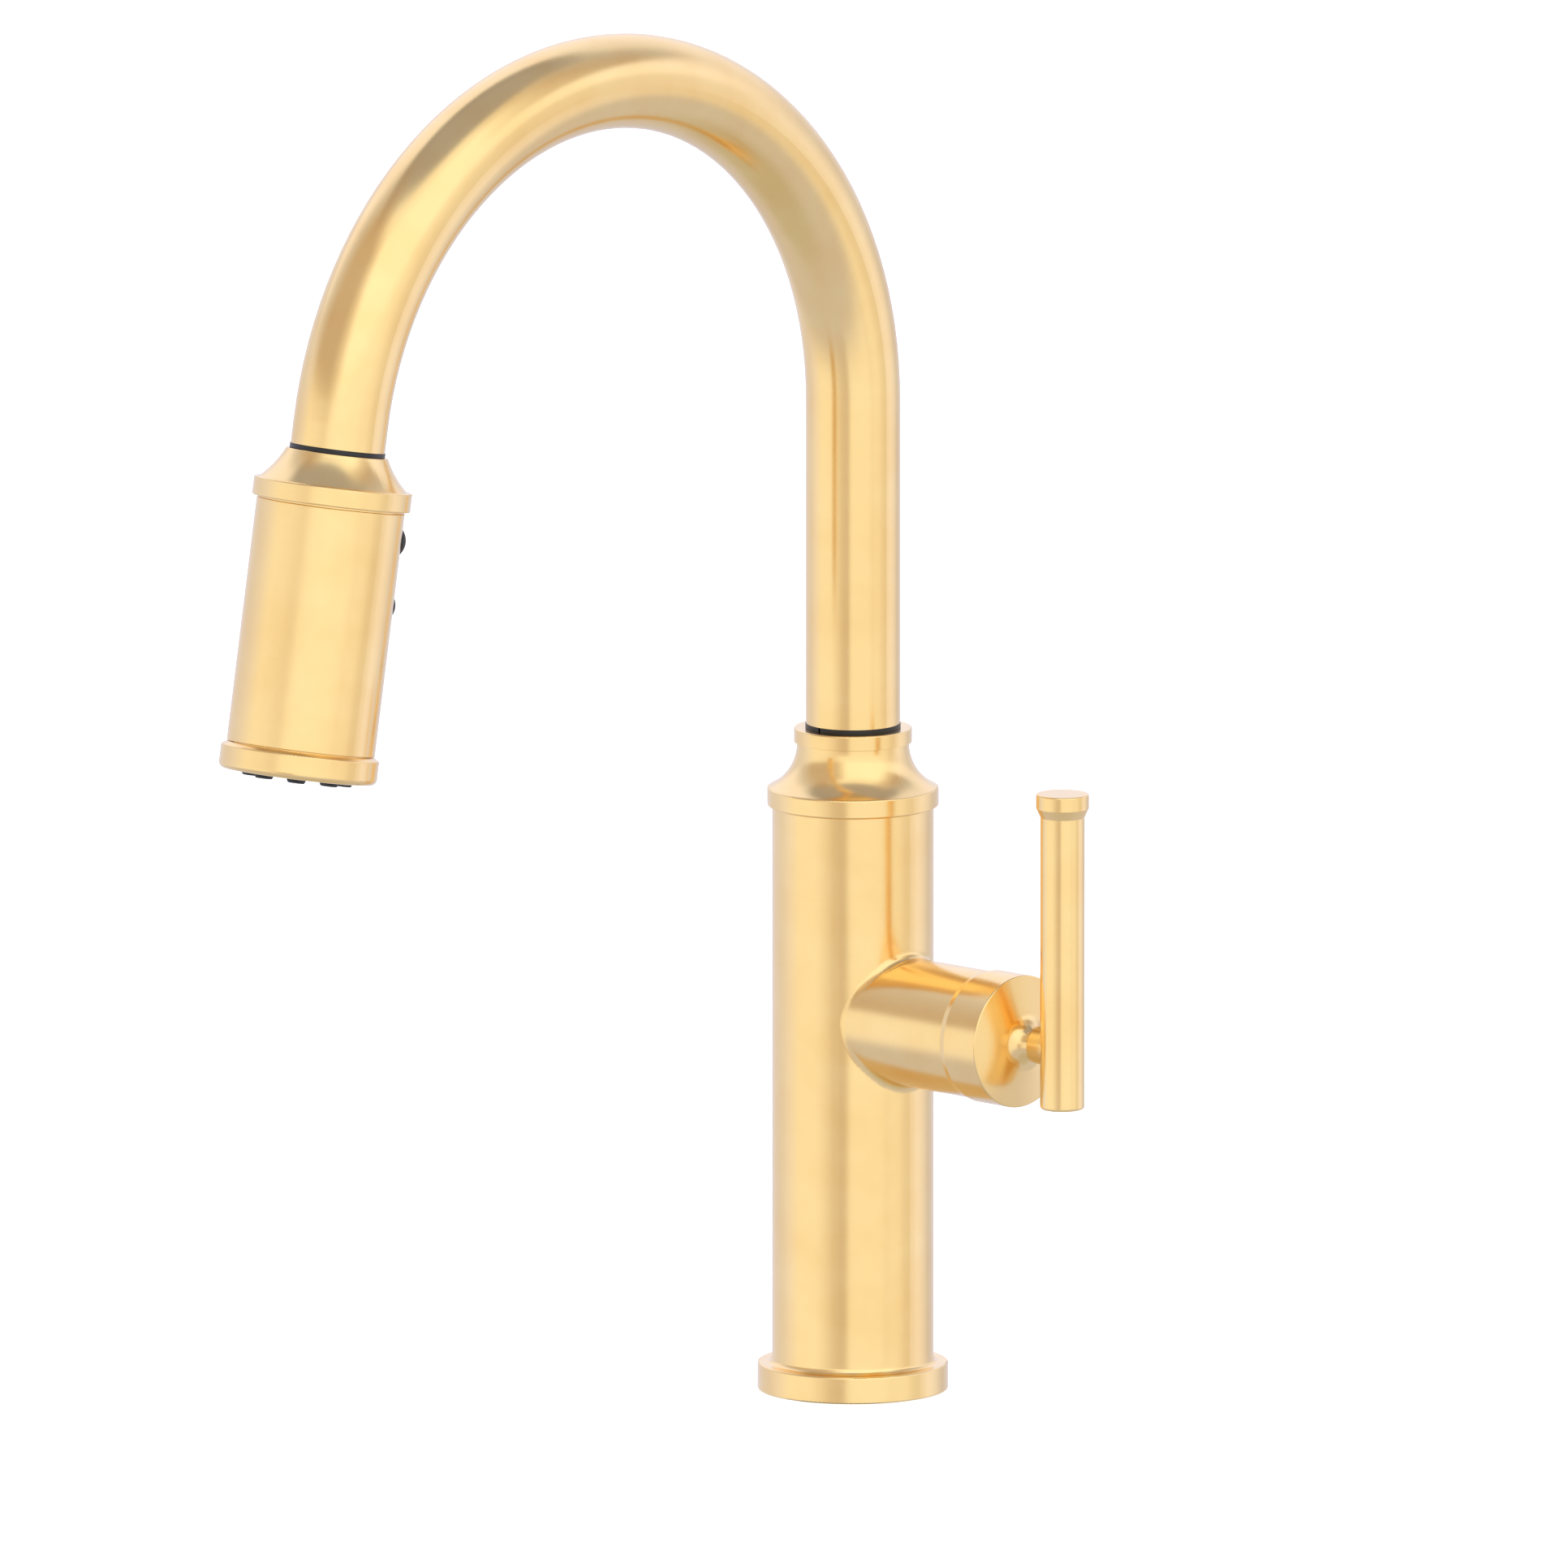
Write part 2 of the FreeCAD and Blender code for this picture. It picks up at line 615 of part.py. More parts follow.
def supply_tube(name):
    """A straight water tube with a threaded nipple brazed on its lower end."""
    place = polar(TUBE_CIRCLE, tube_angles()[name])
    bottom = INLET_END_Z + NIPPLE_LENGTH
    nipple = ring(NIPPLE_R, TUBE_R - TUBE_WALL, INLET_END_Z, bottom)
    collar_top = bottom + NIPPLE_COLLAR_HEIGHT
    nipple = nipple.fuse(ring(NIPPLE_R + NIPPLE_COLLAR_RIM, TUBE_R - TUBE_WALL, bottom, collar_top))
    nipple.translate(place)
    return joined(water_tube(tube_angles()[name], bottom), nipple)


def outlet_tube():
    """The mixed-water tube, with a grooved end for the spray hose's coupling."""
    place = polar(TUBE_CIRCLE, tube_angles()["outlet"])
    low = OUTLET_END_Z + OUTLET_BEAD_AT
    bead = ring(TUBE_R + OUTLET_BEAD_RISE, TUBE_R - TUBE_WALL, low, low + OUTLET_BEAD_WIDTH)
    bead.translate(place)
    return joined(water_tube(tube_angles()["outlet"], OUTLET_END_Z), bead)


# ---- Cartridge (made along +Z, then laid along the hub) ----------------------------------
def cartridge_sleeve():
    """The brass sleeve in the hub that screws into the valve block and holds the cartridge."""
    shoulder = BODY_BORE_R + SLEEVE_SHOULDER
    end = HUB_END - SLEEVE_SETBACK
    return on_hub(turned([
        (SLEEVE_BORE_R, BLOCK_POCKET_FLOOR),
        (BLOCK_POCKET_R - SEAT_GAP, BLOCK_POCKET_FLOOR, 0.3),
        (BLOCK_POCKET_R - SEAT_GAP, shoulder),
        (SLEEVE_R, shoulder),
        (SLEEVE_R, end),
        (SLEEVE_BORE_R, end),
    ]))


def cartridge_housing():
    """A plastic cup: its floor carries the ports and its collar carries the turning spindle."""
    outer = SLEEVE_BORE_R - SEAT_GAP
    inner = outer - CARTRIDGE_WALL
    low = BLOCK_POCKET_FLOOR + BASE_GAP
    floor = BLOCK_POCKET_FLOOR + BASE_THICKNESS
    top = TILT_X - CARTRIDGE_SETBACK
    cup = turned([
        (0, low),
        (outer, low, 0.4),
        (outer, top),
        (inner, top),
        (inner, floor),
        (0, floor),
    ])
    for name in tube_angles():
        cup = cup.cut(port_hole(name, PORT_R, BLOCK_POCKET_FLOOR, DISC_PLANE))
        seat_r = PORT_R + SEAL_RIM + SEAT_GAP
        cup = cup.cut(port_hole(name, seat_r, BLOCK_POCKET_FLOOR, BLOCK_POCKET_FLOOR + SEAL_DEPTH))
    return on_hub(cup)


def port_side(name):
    """How far a cartridge port is to the side of the hub's axis."""
    return math.copysign(PORT_SIDE, tube_angles()[name]) if tube_angles()[name] else 0.0


def port_place(name):
    """A port's place in the hub's own plane: local -X is up, local Y is the faucet's Y."""
    return V(-port_height(name), port_side(name), 0)


def port_hole(name, radius, low, high):
    hole = cylinder(radius, low, high)
    hole.translate(port_place(name))
    return hole


def port_seals():
    """Three rubber rings between the cartridge's floor and the valve block."""
    seals = []
    for name in tube_angles():
        seal = ring(PORT_R + SEAL_RIM, PORT_R, BLOCK_POCKET_FLOOR, BLOCK_POCKET_FLOOR + SEAL_DEPTH)
        seal.translate(port_place(name))
        seals.append(seal)
    return on_hub(Part.makeCompound(seals))


def fixed_disc():
    low = BLOCK_POCKET_FLOOR + BASE_THICKNESS
    disc = cylinder(DISC_R, low, DISC_PLANE)
    for name in tube_angles():
        disc = disc.cut(port_hole(name, PORT_R, low - CUT, DISC_PLANE + CUT))
    return on_hub(disc)


def moving_disc():
    """The upper ceramic disc; its underside chamber joins the ports as it shifts."""
    radius = DISC_R - DISC_SHIFT / 2
    disc = cylinder(radius, DISC_PLANE, DISC_PLANE + DISC_THICKNESS)
    disc.translate(disc_rest())
    chamber = cylinder(radius * CHAMBER_SHARE, DISC_PLANE - CUT, DISC_PLANE + CHAMBER_DEPTH)
    chamber.translate(disc_rest())
    return on_hub(disc.cut(chamber))


def disc_rest():
    """The moving disc starts low by half its travel, so that it ends high by the other half."""
    return V(DISC_SHIFT / 2, 0, 0)


def disc_driver():
    """The plastic plate on the moving disc, with the socket that the stem's ball pushes."""
    low = DISC_PLANE + DISC_THICKNESS
    radius = DISC_R - DISC_SHIFT / 2
    ball = TILT_X - STEM_TIP_ARM
    plate = cylinder(radius, low, low + DRIVER_PLATE)
    plate.translate(disc_rest())
    rim = cylinder(STEM_TIP_R + DRIVER_RIM, low, ball + STEM_TIP_R / 2)
    socket = cylinder(STEM_TIP_R + FREE_GAP, low + DRIVER_FLOOR, ball + STEM_TIP_R)
    return on_hub(joined(plate, rim).cut(socket))


def spindle_carrier():
    """The part of the cartridge that turns with the handle; the stem tilts on a pin in it."""
    outer = SLEEVE_BORE_R - SEAT_GAP - CARTRIDGE_WALL - RUN_GAP
    low = DISC_PLANE + DISC_THICKNESS + DRIVER_PLATE + FREE_GAP
    step = TILT_X - CARRIER_STEP
    top = TILT_X + CARRIER_TOP
    carrier = turned([
        (0, low),
        (outer, low),
        (outer, step),
        (CARRIER_NECK_R, step),
        (CARRIER_NECK_R, top),
        (0, top),
    ])
    room_r = STEM_TIP_R + DRIVER_RIM + DISC_SHIFT + 2 * FREE_GAP
    driver_room = cylinder(room_r, low - CUT, TILT_X - STEM_TIP_ARM + STEM_TIP_R)
    side = STEM_HALF + FREE_GAP
    swing = box((-SWING_HALF, -side, low), (SWING_HALF, side, top + CUT))
    pin_hole = cross_pin(PIN_R + SEAT_GAP, outer)
    return on_hub(carrier.cut(driver_room).cut(swing).cut(pin_hole))


def cross_pin(radius, half_length):
    return Part.makeCylinder(radius, 2 * half_length, V(0, -half_length, TILT_X), V(0, 1, 0))


def tilt_pin():
    """The cross pin that the stem rocks on."""
    return on_hub(cross_pin(PIN_R, PIN_HALF))


def cartridge_nut():
    """The ring nut that holds the cartridge down in its sleeve."""
    low = TILT_X - CARTRIDGE_SETBACK
    high = HUB_END - SLEEVE_SETBACK
    inner = CARRIER_NECK_R + FREE_GAP
    nut = ring(SLEEVE_BORE_R - SEAT_GAP, inner, low, high)
    for i in range(NUT_SLOTS):
        slot_low = (inner - CUT, -NUT_SLOT_HALF, high - NUT_SLOT_DEPTH)
        slot = box(slot_low, (SLEEVE_BORE_R + CUT, NUT_SLOT_HALF, high + CUT))
        slot.rotate(V(0, 0, 0), UP, 360.0 * i / NUT_SLOTS)
        nut = nut.cut(slot)
    return on_hub(nut)


def hub_bonnet():
    """The domed cover that shows when the handle tilts; its ball shape is about the tilt centre."""
    outer = HUB_BORE_R - SEAT_GAP
    inner = outer - BONNET_WALL
    blank = turned([
        (inner, HUB_END - BONNET_SKIRT),
        (outer, HUB_END - BONNET_SKIRT),
        (outer, HUB_END),
        (HUB_R + CUT, HUB_END),
        (HUB_R + CUT, TILT_X + DOME_R),
        (BONNET_HOLE_R, TILT_X + DOME_R),
        (BONNET_HOLE_R, HUB_END + 3),
        (inner, HUB_END + 2),
    ])
    return on_hub(blank.common(Part.makeSphere(DOME_R, V(0, 0, TILT_X))))


# ---- Handle ------------------------------------------------------------------------------
def cartridge_stem():
    """The square stem: a ball below the tilt pin shifts the disc, the top carries the handle."""
    square = box((-STEM_HALF, -STEM_HALF, TILT_X - STEM_FOOT), (STEM_HALF, STEM_HALF, STEM_END))
    finger = cylinder(STEM_FINGER_R, TILT_X - STEM_TIP_ARM, TILT_X)
    ball = Part.makeSphere(STEM_TIP_R, V(0, 0, TILT_X - STEM_TIP_ARM))
    pin_hole = cross_pin(PIN_R + RUN_GAP, STEM_HALF + CUT)
    return on_hub(joined(square, finger, ball).cut(pin_hole))


def cap_apex():
    """Where the cone of the cap's face would come to a point."""
    return CAP_RIM + CAP_R * math.tan(math.radians(CAP_CONE))


def neck_root():
    """Where the cap's face meets the thin root of the neck."""
    return cap_apex() - NECK_ROOT_R * math.tan(math.radians(CAP_CONE))


def set_screw_at():
    return STEM_END - SET_SCREW_BACK


def lever_cap():
    """The handle's round cap: a shallow cone outside, a ball-shaped hollow and a boss inside."""
    start = HUB_END + CAP_SEAM
    neck_end = neck_root() + NECK_ROOT_LENGTH
    outside = turned([
        (0, start),
        (CAP_LIP_R, start),
        (CAP_R, start + CAP_CHAMFER),
        (CAP_R, CAP_RIM, 0.5),
        (NECK_ROOT_R, neck_root(), CAP_FACE_ROUND),
        (NECK_ROOT_R, neck_end),
        (0, neck_end),
    ])
    hollow = Part.makeSphere(DOME_R + DOME_GAP, V(0, 0, TILT_X))
    boss = cylinder(STEM_BOSS_R, start + CUT, CAP_RIM)
    socket_half = STEM_HALF + SEAT_GAP
    socket = box((-socket_half, -socket_half, start), (socket_half, socket_half, STEM_END))
    screw_hole = Part.makeCylinder(SET_SCREW_R + SEAT_GAP, CAP_R + CUT, V(0, 0, set_screw_at()), V(1, 0, 0))
    return on_hub(outside.cut(hollow).fuse(boss).cut(socket).cut(screw_hole))


def handle_set_screw():
    """The grub screw under the cap that clamps the stem."""
    outer_end = CAP_R - SET_SCREW_SUNK
    length = outer_end - STEM_HALF
    screw = Part.makeCylinder(SET_SCREW_R, length, V(STEM_HALF, 0, set_screw_at()), V(1, 0, 0))
    key_at = V(outer_end - KEY_DEPTH, 0, set_screw_at())
    key = Part.makeCylinder(KEY_R, KEY_DEPTH, key_at, V(1, 0, 0))
    return on_hub(screw.cut(key))


def lever_neck():
    """The short boss between the cap and the bar, with its end hollowed to seat the bar."""
    start = neck_root() + NECK_ROOT_LENGTH
    boss = turned([
        (0, start),
        (NECK_R, start, 0.6),
        (NECK_R, BAR_X),
        (0, BAR_X),
    ])
    return on_hub(boss).cut(bar_rod(BAR_R, BAR_BOTTOM, BAR_TOP))


def bar_rod(radius, low, high):
    rod = cylinder(radius, low, high)
    rod.translate(V(BAR_X, 0, 0))
    return rod


def lever_bar():
    knob_bottom = BAR_TOP - KNOB_HEIGHT - KNOB_FLARE
    tenon_r = BAR_R - BAR_TENON_STEP
    tenon_top = BAR_TOP - KNOB_TOP_WALL
    bar = turned([
        (0, BAR_BOTTOM),
        (BAR_R, BAR_BOTTOM, BAR_END_ROUND),
        (BAR_R, knob_bottom),
        (tenon_r, knob_bottom),
        (tenon_r, tenon_top),
        (0, tenon_top),
    ])
    bar.translate(V(BAR_X, 0, 0))
    return bar


def lever_knob():
    """The wider cap on the top of the bar."""
    low = BAR_TOP - KNOB_HEIGHT - KNOB_FLARE
    bore_r = BAR_R - BAR_TENON_STEP + SEAT_GAP
    bore_top = BAR_TOP - KNOB_TOP_WALL
    knob = turned([
        (bore_r, low),
        (BAR_R, low),
        (KNOB_R, BAR_TOP - KNOB_HEIGHT),
        (KNOB_R, BAR_TOP, 0.5),
        (0, BAR_TOP),
        (0, bore_top),
        (bore_r, bore_top),
    ])
    knob.translate(V(BAR_X, 0, 0))
    return knob


# ---- Spout -------------------------------------------------------------------------------
def spout_tube():
    outer = arched_rod(SPOUT_R, SPOUT_BOTTOM, TAIL_LENGTH)
    inner = arched_rod(SPOUT_BORE_R, SPOUT_BOTTOM - CUT, TAIL_LENGTH + CUT)
    return outer.cut(inner)


def clip_groove_low():
    return SOCKET_BOTTOM - CLIP_HEIGHT - 2 * END_GAP


def bearing_low():
    return SOCKET_BOTTOM + BEARING_AT


def seal_low():
    return SHOULDER_TOP - SEAL_AT_DEPTH


def spigot_groove(depth, low, height):
    return ring(SPIGOT_R + CUT, SPIGOT_R - depth, low, low + height)


def spout_spigot():
    """The turned brass foot of the spout: it is fixed in the tube and turns in the shoulder."""
    in_tube = SPOUT_BORE_R - SEAT_GAP
    low = clip_groove_low() - CLIP_HEIGHT - SPIGOT_BELOW_CLIP
    spigot = turned([
        (SPIGOT_BORE_R, low),
        (SPIGOT_R, low, 0.4),
        (SPIGOT_R, SPOUT_BOTTOM),
        (in_tube, SPOUT_BOTTOM),
        (in_tube, SPOUT_BOTTOM + SPIGOT_INTO_TUBE, 0.5),
        (SPIGOT_BORE_R, SPOUT_BOTTOM + SPIGOT_INTO_TUBE),
    ])
    spigot = spigot.cut(spigot_groove(BEARING_WALL, bearing_low(), BEARING_HEIGHT))
    spigot = spigot.cut(spigot_groove(SEAL_SUNK, seal_low(), SEAL_HEIGHT))
    return spigot.cut(spigot_groove(CLIP_SUNK, clip_groove_low(), CLIP_HEIGHT))


def ring_in_groove(outer, depth, groove_low, height):
    """A ring that fills a groove of the spigot, with a little room all round."""
    low = groove_low + END_GAP
    return ring(outer, SPIGOT_R - depth + SEAT_GAP, low, groove_low + height - END_GAP)


def swivel_ring():
    """The black split ring that the spout turns on; its gap faces the front."""
    low = SHOULDER_TOP + END_GAP
    washer = ring(RING_R, SPIGOT_R + SEAT_GAP, low, SPOUT_BOTTOM)
    split = box((-RING_SPLIT / 2, -RING_R - CUT, low - CUT), (RING_SPLIT / 2, 0, SPOUT_BOTTOM + CUT))
    return washer.cut(split)


def lower_bearing():
    """A split plastic bearing in the spigot's lower groove."""
    low = bearing_low()
    bearing = ring_in_groove(SPIGOT_R, BEARING_WALL, low, BEARING_HEIGHT)
    half = BEARING_SPLIT / 2
    split = box((-half, 0, low - CUT), (half, SPIGOT_R + CUT, low + BEARING_HEIGHT + CUT))
    return bearing.cut(split)


def friction_ring():
    """The rubber ring that keeps the spout from swinging loosely."""
    return ring_in_groove(SPIGOT_R, SEAL_SUNK, seal_low(), SEAL_HEIGHT)


def retaining_clip():
    """The spring clip under the socket that keeps the spout from lifting out."""
    low = clip_groove_low()
    outer = SPIGOT_R + CLIP_PROUD
    clip = ring_in_groove(outer, CLIP_SUNK, low, CLIP_HEIGHT)
    half = CLIP_MOUTH / 2
    mouth = box((0, -half, low - CUT), (outer + CUT, half, low + CLIP_HEIGHT + CUT))
    return clip.cut(mouth)


def dock_bushing():
    """The black collar in the spout's end that guides and holds the spray head."""
    depth = TAIL_LENGTH - DOCK_INSET
    rim = DOCK_RIM - HEAD_GAP
    return on_head(turned([
        (DOCK_R - DOCK_WALL, -depth),
        (DOCK_R, -depth, 0.3),
        (DOCK_R, 0),
        (RING_R, 0),
        (RING_R, rim),
        (DOCK_R - DOCK_WALL, rim),
    ]))


def dock_magnet():
    high = -MAGNET_SETBACK
    return on_head(ring(MAGNET_R, MAGNET_R - MAGNET_WALL, high - MAGNET_HEIGHT, high))


def spray_hose():
    """The hose that the spout holds all the way, from under the deck to the spray head."""
    end = TAIL_LENGTH - TAIL_RISE
    outer = arched_rod(HOSE_R, HOSE_END_Z, end)
    inner = arched_rod(HOSE_R - HOSE_WALL, HOSE_END_Z - CUT, end + CUT)
    return outer.cut(inner)


def hose_coupling():
    """The fitting on the hose's lower end, where the free loop under the deck joins it."""
    low = HOSE_END_Z - COUPLING_LENGTH
    step = low + COUPLING_TAIL_LENGTH
    high = HOSE_END_Z + COUPLING_GRIP
    return turned([
        (HOSE_R - HOSE_WALL, HOSE_END_Z),
        (HOSE_R - HOSE_WALL, low),
        (COUPLING_TAIL_R, low, 0.5),
        (COUPLING_TAIL_R, step),
        (COUPLING_R, step, 0.5),
        (COUPLING_R, high, 0.5),
        (HOSE_R + SEAT_GAP, high),
        (HOSE_R + SEAT_GAP, HOSE_END_Z),
    ])


# ---- Hose end and spray head (made along +Z from the spout's end, then turned) -----------
def hose_tail():
    """The brass swivel stem on the hose's upper end; the spray head turns round it."""
    flange_end = -TAIL_RISE + TAIL_FLANGE
    return on_head(turned([
        (STEM_BORE_R, -TAIL_RISE),
        (NUT_FACE_R, -TAIL_RISE, 0.4),
        (NUT_FACE_R, flange_end),
        (TAIL_R, flange_end),
        (TAIL_R, TAIL_REACH),
        (STEM_BORE_R, TAIL_REACH),
    ]))


def hose_ferrule():
    """The crimped sleeve on the last stretch of the hose, which is bent a little with it."""
    sleeve = on_head(cylinder(HOSE_R + FERRULE_WALL, -TAIL_RISE - FERRULE_LENGTH, -TAIL_RISE))
    return sleeve.cut(arched_rod(HOSE_R + SEAT_GAP, HOSE_END_Z, TAIL_LENGTH))


def tail_seal():
    """The rubber ring that seals the turning stem in the head."""
    return on_head(ring(TAIL_R + SEAL_SECTION, TAIL_R + RUN_GAP, SEAL_AT, SEAL_AT + SEAL_LENGTH))


def head_inlet():
    """The plastic inlet that stands up inside the spout's dock and seats the waterway."""
    bore = TAIL_R + RUN_GAP
    seal_r = TAIL_R + SEAL_SECTION + SEAT_GAP
    seal_end = SEAL_AT + SEAL_LENGTH + END_GAP
    fit_r = SHELL_BORE_R - SEAT_GAP
    return on_head(turned([
        (bore, INLET_TOP),
        (INLET_R, INLET_TOP, 0.5),
        (INLET_R, INLET_NECK),
        (fit_r, CORE_TOP - INLET_RIM),
        (fit_r, CORE_TOP),
        (STEM_BORE_R, CORE_TOP),
        (STEM_BORE_R, TAIL_REACH + FREE_GAP),
        (bore, TAIL_REACH + FREE_GAP),
        (bore, seal_end),
        (seal_r, seal_end),
        (seal_r, SEAL_AT - END_GAP),
        (bore, SEAL_AT - END_GAP),
    ]))


def head_magnet_ring():
    """The steel ring that the dock's magnet pulls on."""
    low = INLET_TOP + SEAL_LENGTH / 4
    outer = INLET_R + MAGNET_RING_WALL
    return on_head(ring(outer, INLET_R + SEAT_GAP, low, low + MAGNET_RING_HEIGHT))


def wand_collar():
    """The flared top of the spray head, with the ring below it."""
    start = DOCK_RIM
    corner_z = flare_corner_z()
    corner_r = HEAD_TOP_R + (corner_z - start) * math.tan(math.radians(HEAD_FLARE_START))
    reach = min(corner_z - start, HEAD_RING_TOP - corner_z) / math.cos(math.radians(HEAD_FLARE_START))
    flare_r = reach / math.tan(math.radians((HEAD_FLARE_END - HEAD_FLARE_START) / 2))
    inner = INLET_R + MAGNET_RING_WALL + FREE_GAP
    return on_head(turned([
        (inner, start),
        (HEAD_TOP_R, start, 0.2),
        (corner_r, corner_z, flare_r * NEARLY),
        (HEAD_FLARE_OUT_R, HEAD_RING_TOP - HEAD_FLARE_LEDGE),
        (HEAD_RING_R, HEAD_RING_TOP, 0.5),
        (HEAD_RING_R, HEAD_RING_END, 0.5),
        (HEAD_R - SEAM_DEPTH, HEAD_RING_END),
        (HEAD_R - SEAM_DEPTH, HEAD_RING_END + HEAD_SEAM),
        (SHELL_BORE_R + FREE_GAP, HEAD_RING_END + HEAD_SEAM),
        (inner, INLET_NECK - HEAD_WALL),
    ]))


def flare_corner_z():
    """Where the flare's two end slopes meet, along the head's axis."""
    steep = math.tan(math.radians(HEAD_FLARE_END))
    shallow = math.tan(math.radians(HEAD_FLARE_START))
    end = HEAD_RING_TOP - HEAD_FLARE_LEDGE
    rise = HEAD_FLARE_OUT_R - HEAD_TOP_R
    return (end * steep - DOCK_RIM * shallow - rise) / (steep - shallow)


def at_buttons(shape):
    """Place a shape on the grip's side: its X runs down the grip and its Z points out of it."""
    out = polar(1.0, BUTTON_AZIMUTH)
    turn = FreeCAD.Rotation(UP, out.cross(UP), out, "ZXY")
    return placed(shape, FreeCAD.Placement(V(0, 0, ROCKER_AT), turn))


def at_button(shape, along_head):
    moved = shape.copy()
    moved.translate(V(along_head - ROCKER_AT, 0, 0))
    return at_buttons(moved)


def wand_shell():
    """The round grip of the spray head, with two holes for the buttons."""
    start = HEAD_RING_END + HEAD_SEAM
    shell = turned([
        (SHELL_BORE_R, start),
        (HEAD_R, start, 0.3),
        (HEAD_R, SHELL_END, 0.3),
        (SHELL_BORE_R, SHELL_END),
    ])
    for at in (SPRAY_BUTTON_AT, STREAM_BUTTON_AT):
        hole = at_button(cylinder(BUTTON_R + BUTTON_GAP, SHELL_BORE_R - BUTTON_R, HEAD_R + CUT), at)
        shell = shell.cut(hole)
    return on_head(shell)


def wand_bezel():
    """The ring round the spray face, rounded below."""
    start = SHELL_END + BEZEL_SEAM
    inner = BEZEL_R - BEZEL_WALL
    skirt_low = SHELL_END - SKIRT_LENGTH
    neck_r = SHELL_BORE_R - SEAT_GAP
    return on_head(turned([
        (neck_r - SKIRT_WALL, skirt_low),
        (neck_r, skirt_low),
        (neck_r, start),
        (HEAD_R, start),
        (BEZEL_R, start + BEZEL_SLOPE, 0.5),
        (BEZEL_R, BEZEL_END, BEZEL_ROUND),
        (inner, BEZEL_END, 0.3),
        (inner, FACE_LOW),
        (neck_r - SKIRT_WALL, FACE_LOW),
    ]))


def nozzle_places():
    first = BUTTON_AZIMUTH + 90 + NOZZLE_FIRST
    return [polar(NOZZLE_CIRCLE, first + 360.0 * i / NOZZLE_COUNT) for i in range(NOZZLE_COUNT)]


def spray_face():
    """The plate that closes the head, pierced for the nozzles and the stream outlet."""
    radius = BEZEL_R - BEZEL_WALL - SEAT_GAP
    plate = ring(radius, AERATOR_R + SEAT_GAP, FACE_LOW, FACE_LOW + FACE_THICKNESS)
    for place in nozzle_places():
        hole = cylinder(NOZZLE_R + SEAT_GAP, FACE_LOW - CUT, BEZEL_END + CUT)
        hole.translate(place)
        plate = plate.cut(hole)
    return on_head(plate)


def spray_nozzles():
    """One rubber mat behind the face, with a soft nub through each hole."""
    low = FACE_LOW - MAT_THICKNESS
    tip = BEZEL_END + NOZZLE_PROUD - FACE_RECESS
    outer = NOZZLE_CIRCLE + NOZZLE_R + MAT_RIM
    inner = NOZZLE_CIRCLE - NOZZLE_R - MAT_RIM
    mat = ring(outer, inner, low, FACE_LOW)
    nubs = []
    for place in nozzle_places():
        nub = turned([
            (0, low),
            (NOZZLE_R, low),
            (NOZZLE_R, tip - NOZZLE_TIP_HEIGHT),
            (NOZZLE_R - NOZZLE_TIP_STEP, tip, 0.25),
            (0, tip),
        ])
        nub.translate(place)
        nubs.append(nub)
    mat = joined(mat, *nubs)
    for place in nozzle_places():
        bore = cylinder(NOZZLE_BORE_R, low - CUT, tip + CUT)
        bore.translate(place)
        mat = mat.cut(bore)
    return on_head(mat)


def aerator():
    """The stream outlet's insert, a cup with rings of small holes."""
    low = CHAMBER_TOP
    high = BEZEL_END - FACE_RECESS + AERATOR_PROUD
    inner = AERATOR_R - AERATOR_WALL
    cup = cylinder(AERATOR_R, low, high)
    cup = cup.cut(cylinder(inner, high - AERATOR_DISH, high + CUT))
    cup = cup.cut(cylinder(inner, low - CUT, high - AERATOR_FLOOR))
    holes = [cylinder(AERATOR_HOLE_R, low - CUT, high + CUT)]
    for circle in range(1, AERATOR_RINGS + 1):
        for i in range(6 * circle):
            hole = cylinder(AERATOR_HOLE_R, low - CUT, high + CUT)
            hole.translate(polar(AERATOR_PITCH * circle, 60.0 * i / circle))
            holes.append(hole)
    return on_head(cup.cut(Part.makeCompound(holes)))


def diffuser_plate():
    """The plate between the waterway and the face that feeds the nozzles."""
    low = CORE_BOTTOM
    high = CHAMBER_TOP
    radius = SHELL_BORE_R - SEAT_GAP - SKIRT_WALL - SEAT_GAP
    plate = ring(radius, AERATOR_R - AERATOR_WALL, low, high)
    for place in nozzle_places():
        hole = cylinder(NOZZLE_BORE_R * 1.5, low - CUT, high + CUT)
        hole.translate(place)
        plate = plate.cut(hole)
    return on_head(plate)


def rocker_top():
    """The rocker's upper face when it is level, measured out from the head's axis."""
    tip = HEAD_R + BUTTON_PROUD_OUT - BUTTON_HEAD_DEPTH - BUTTON_SHANK_DEPTH
    return tip - BUTTON_TRAVEL / 2 - BUTTON_GAP


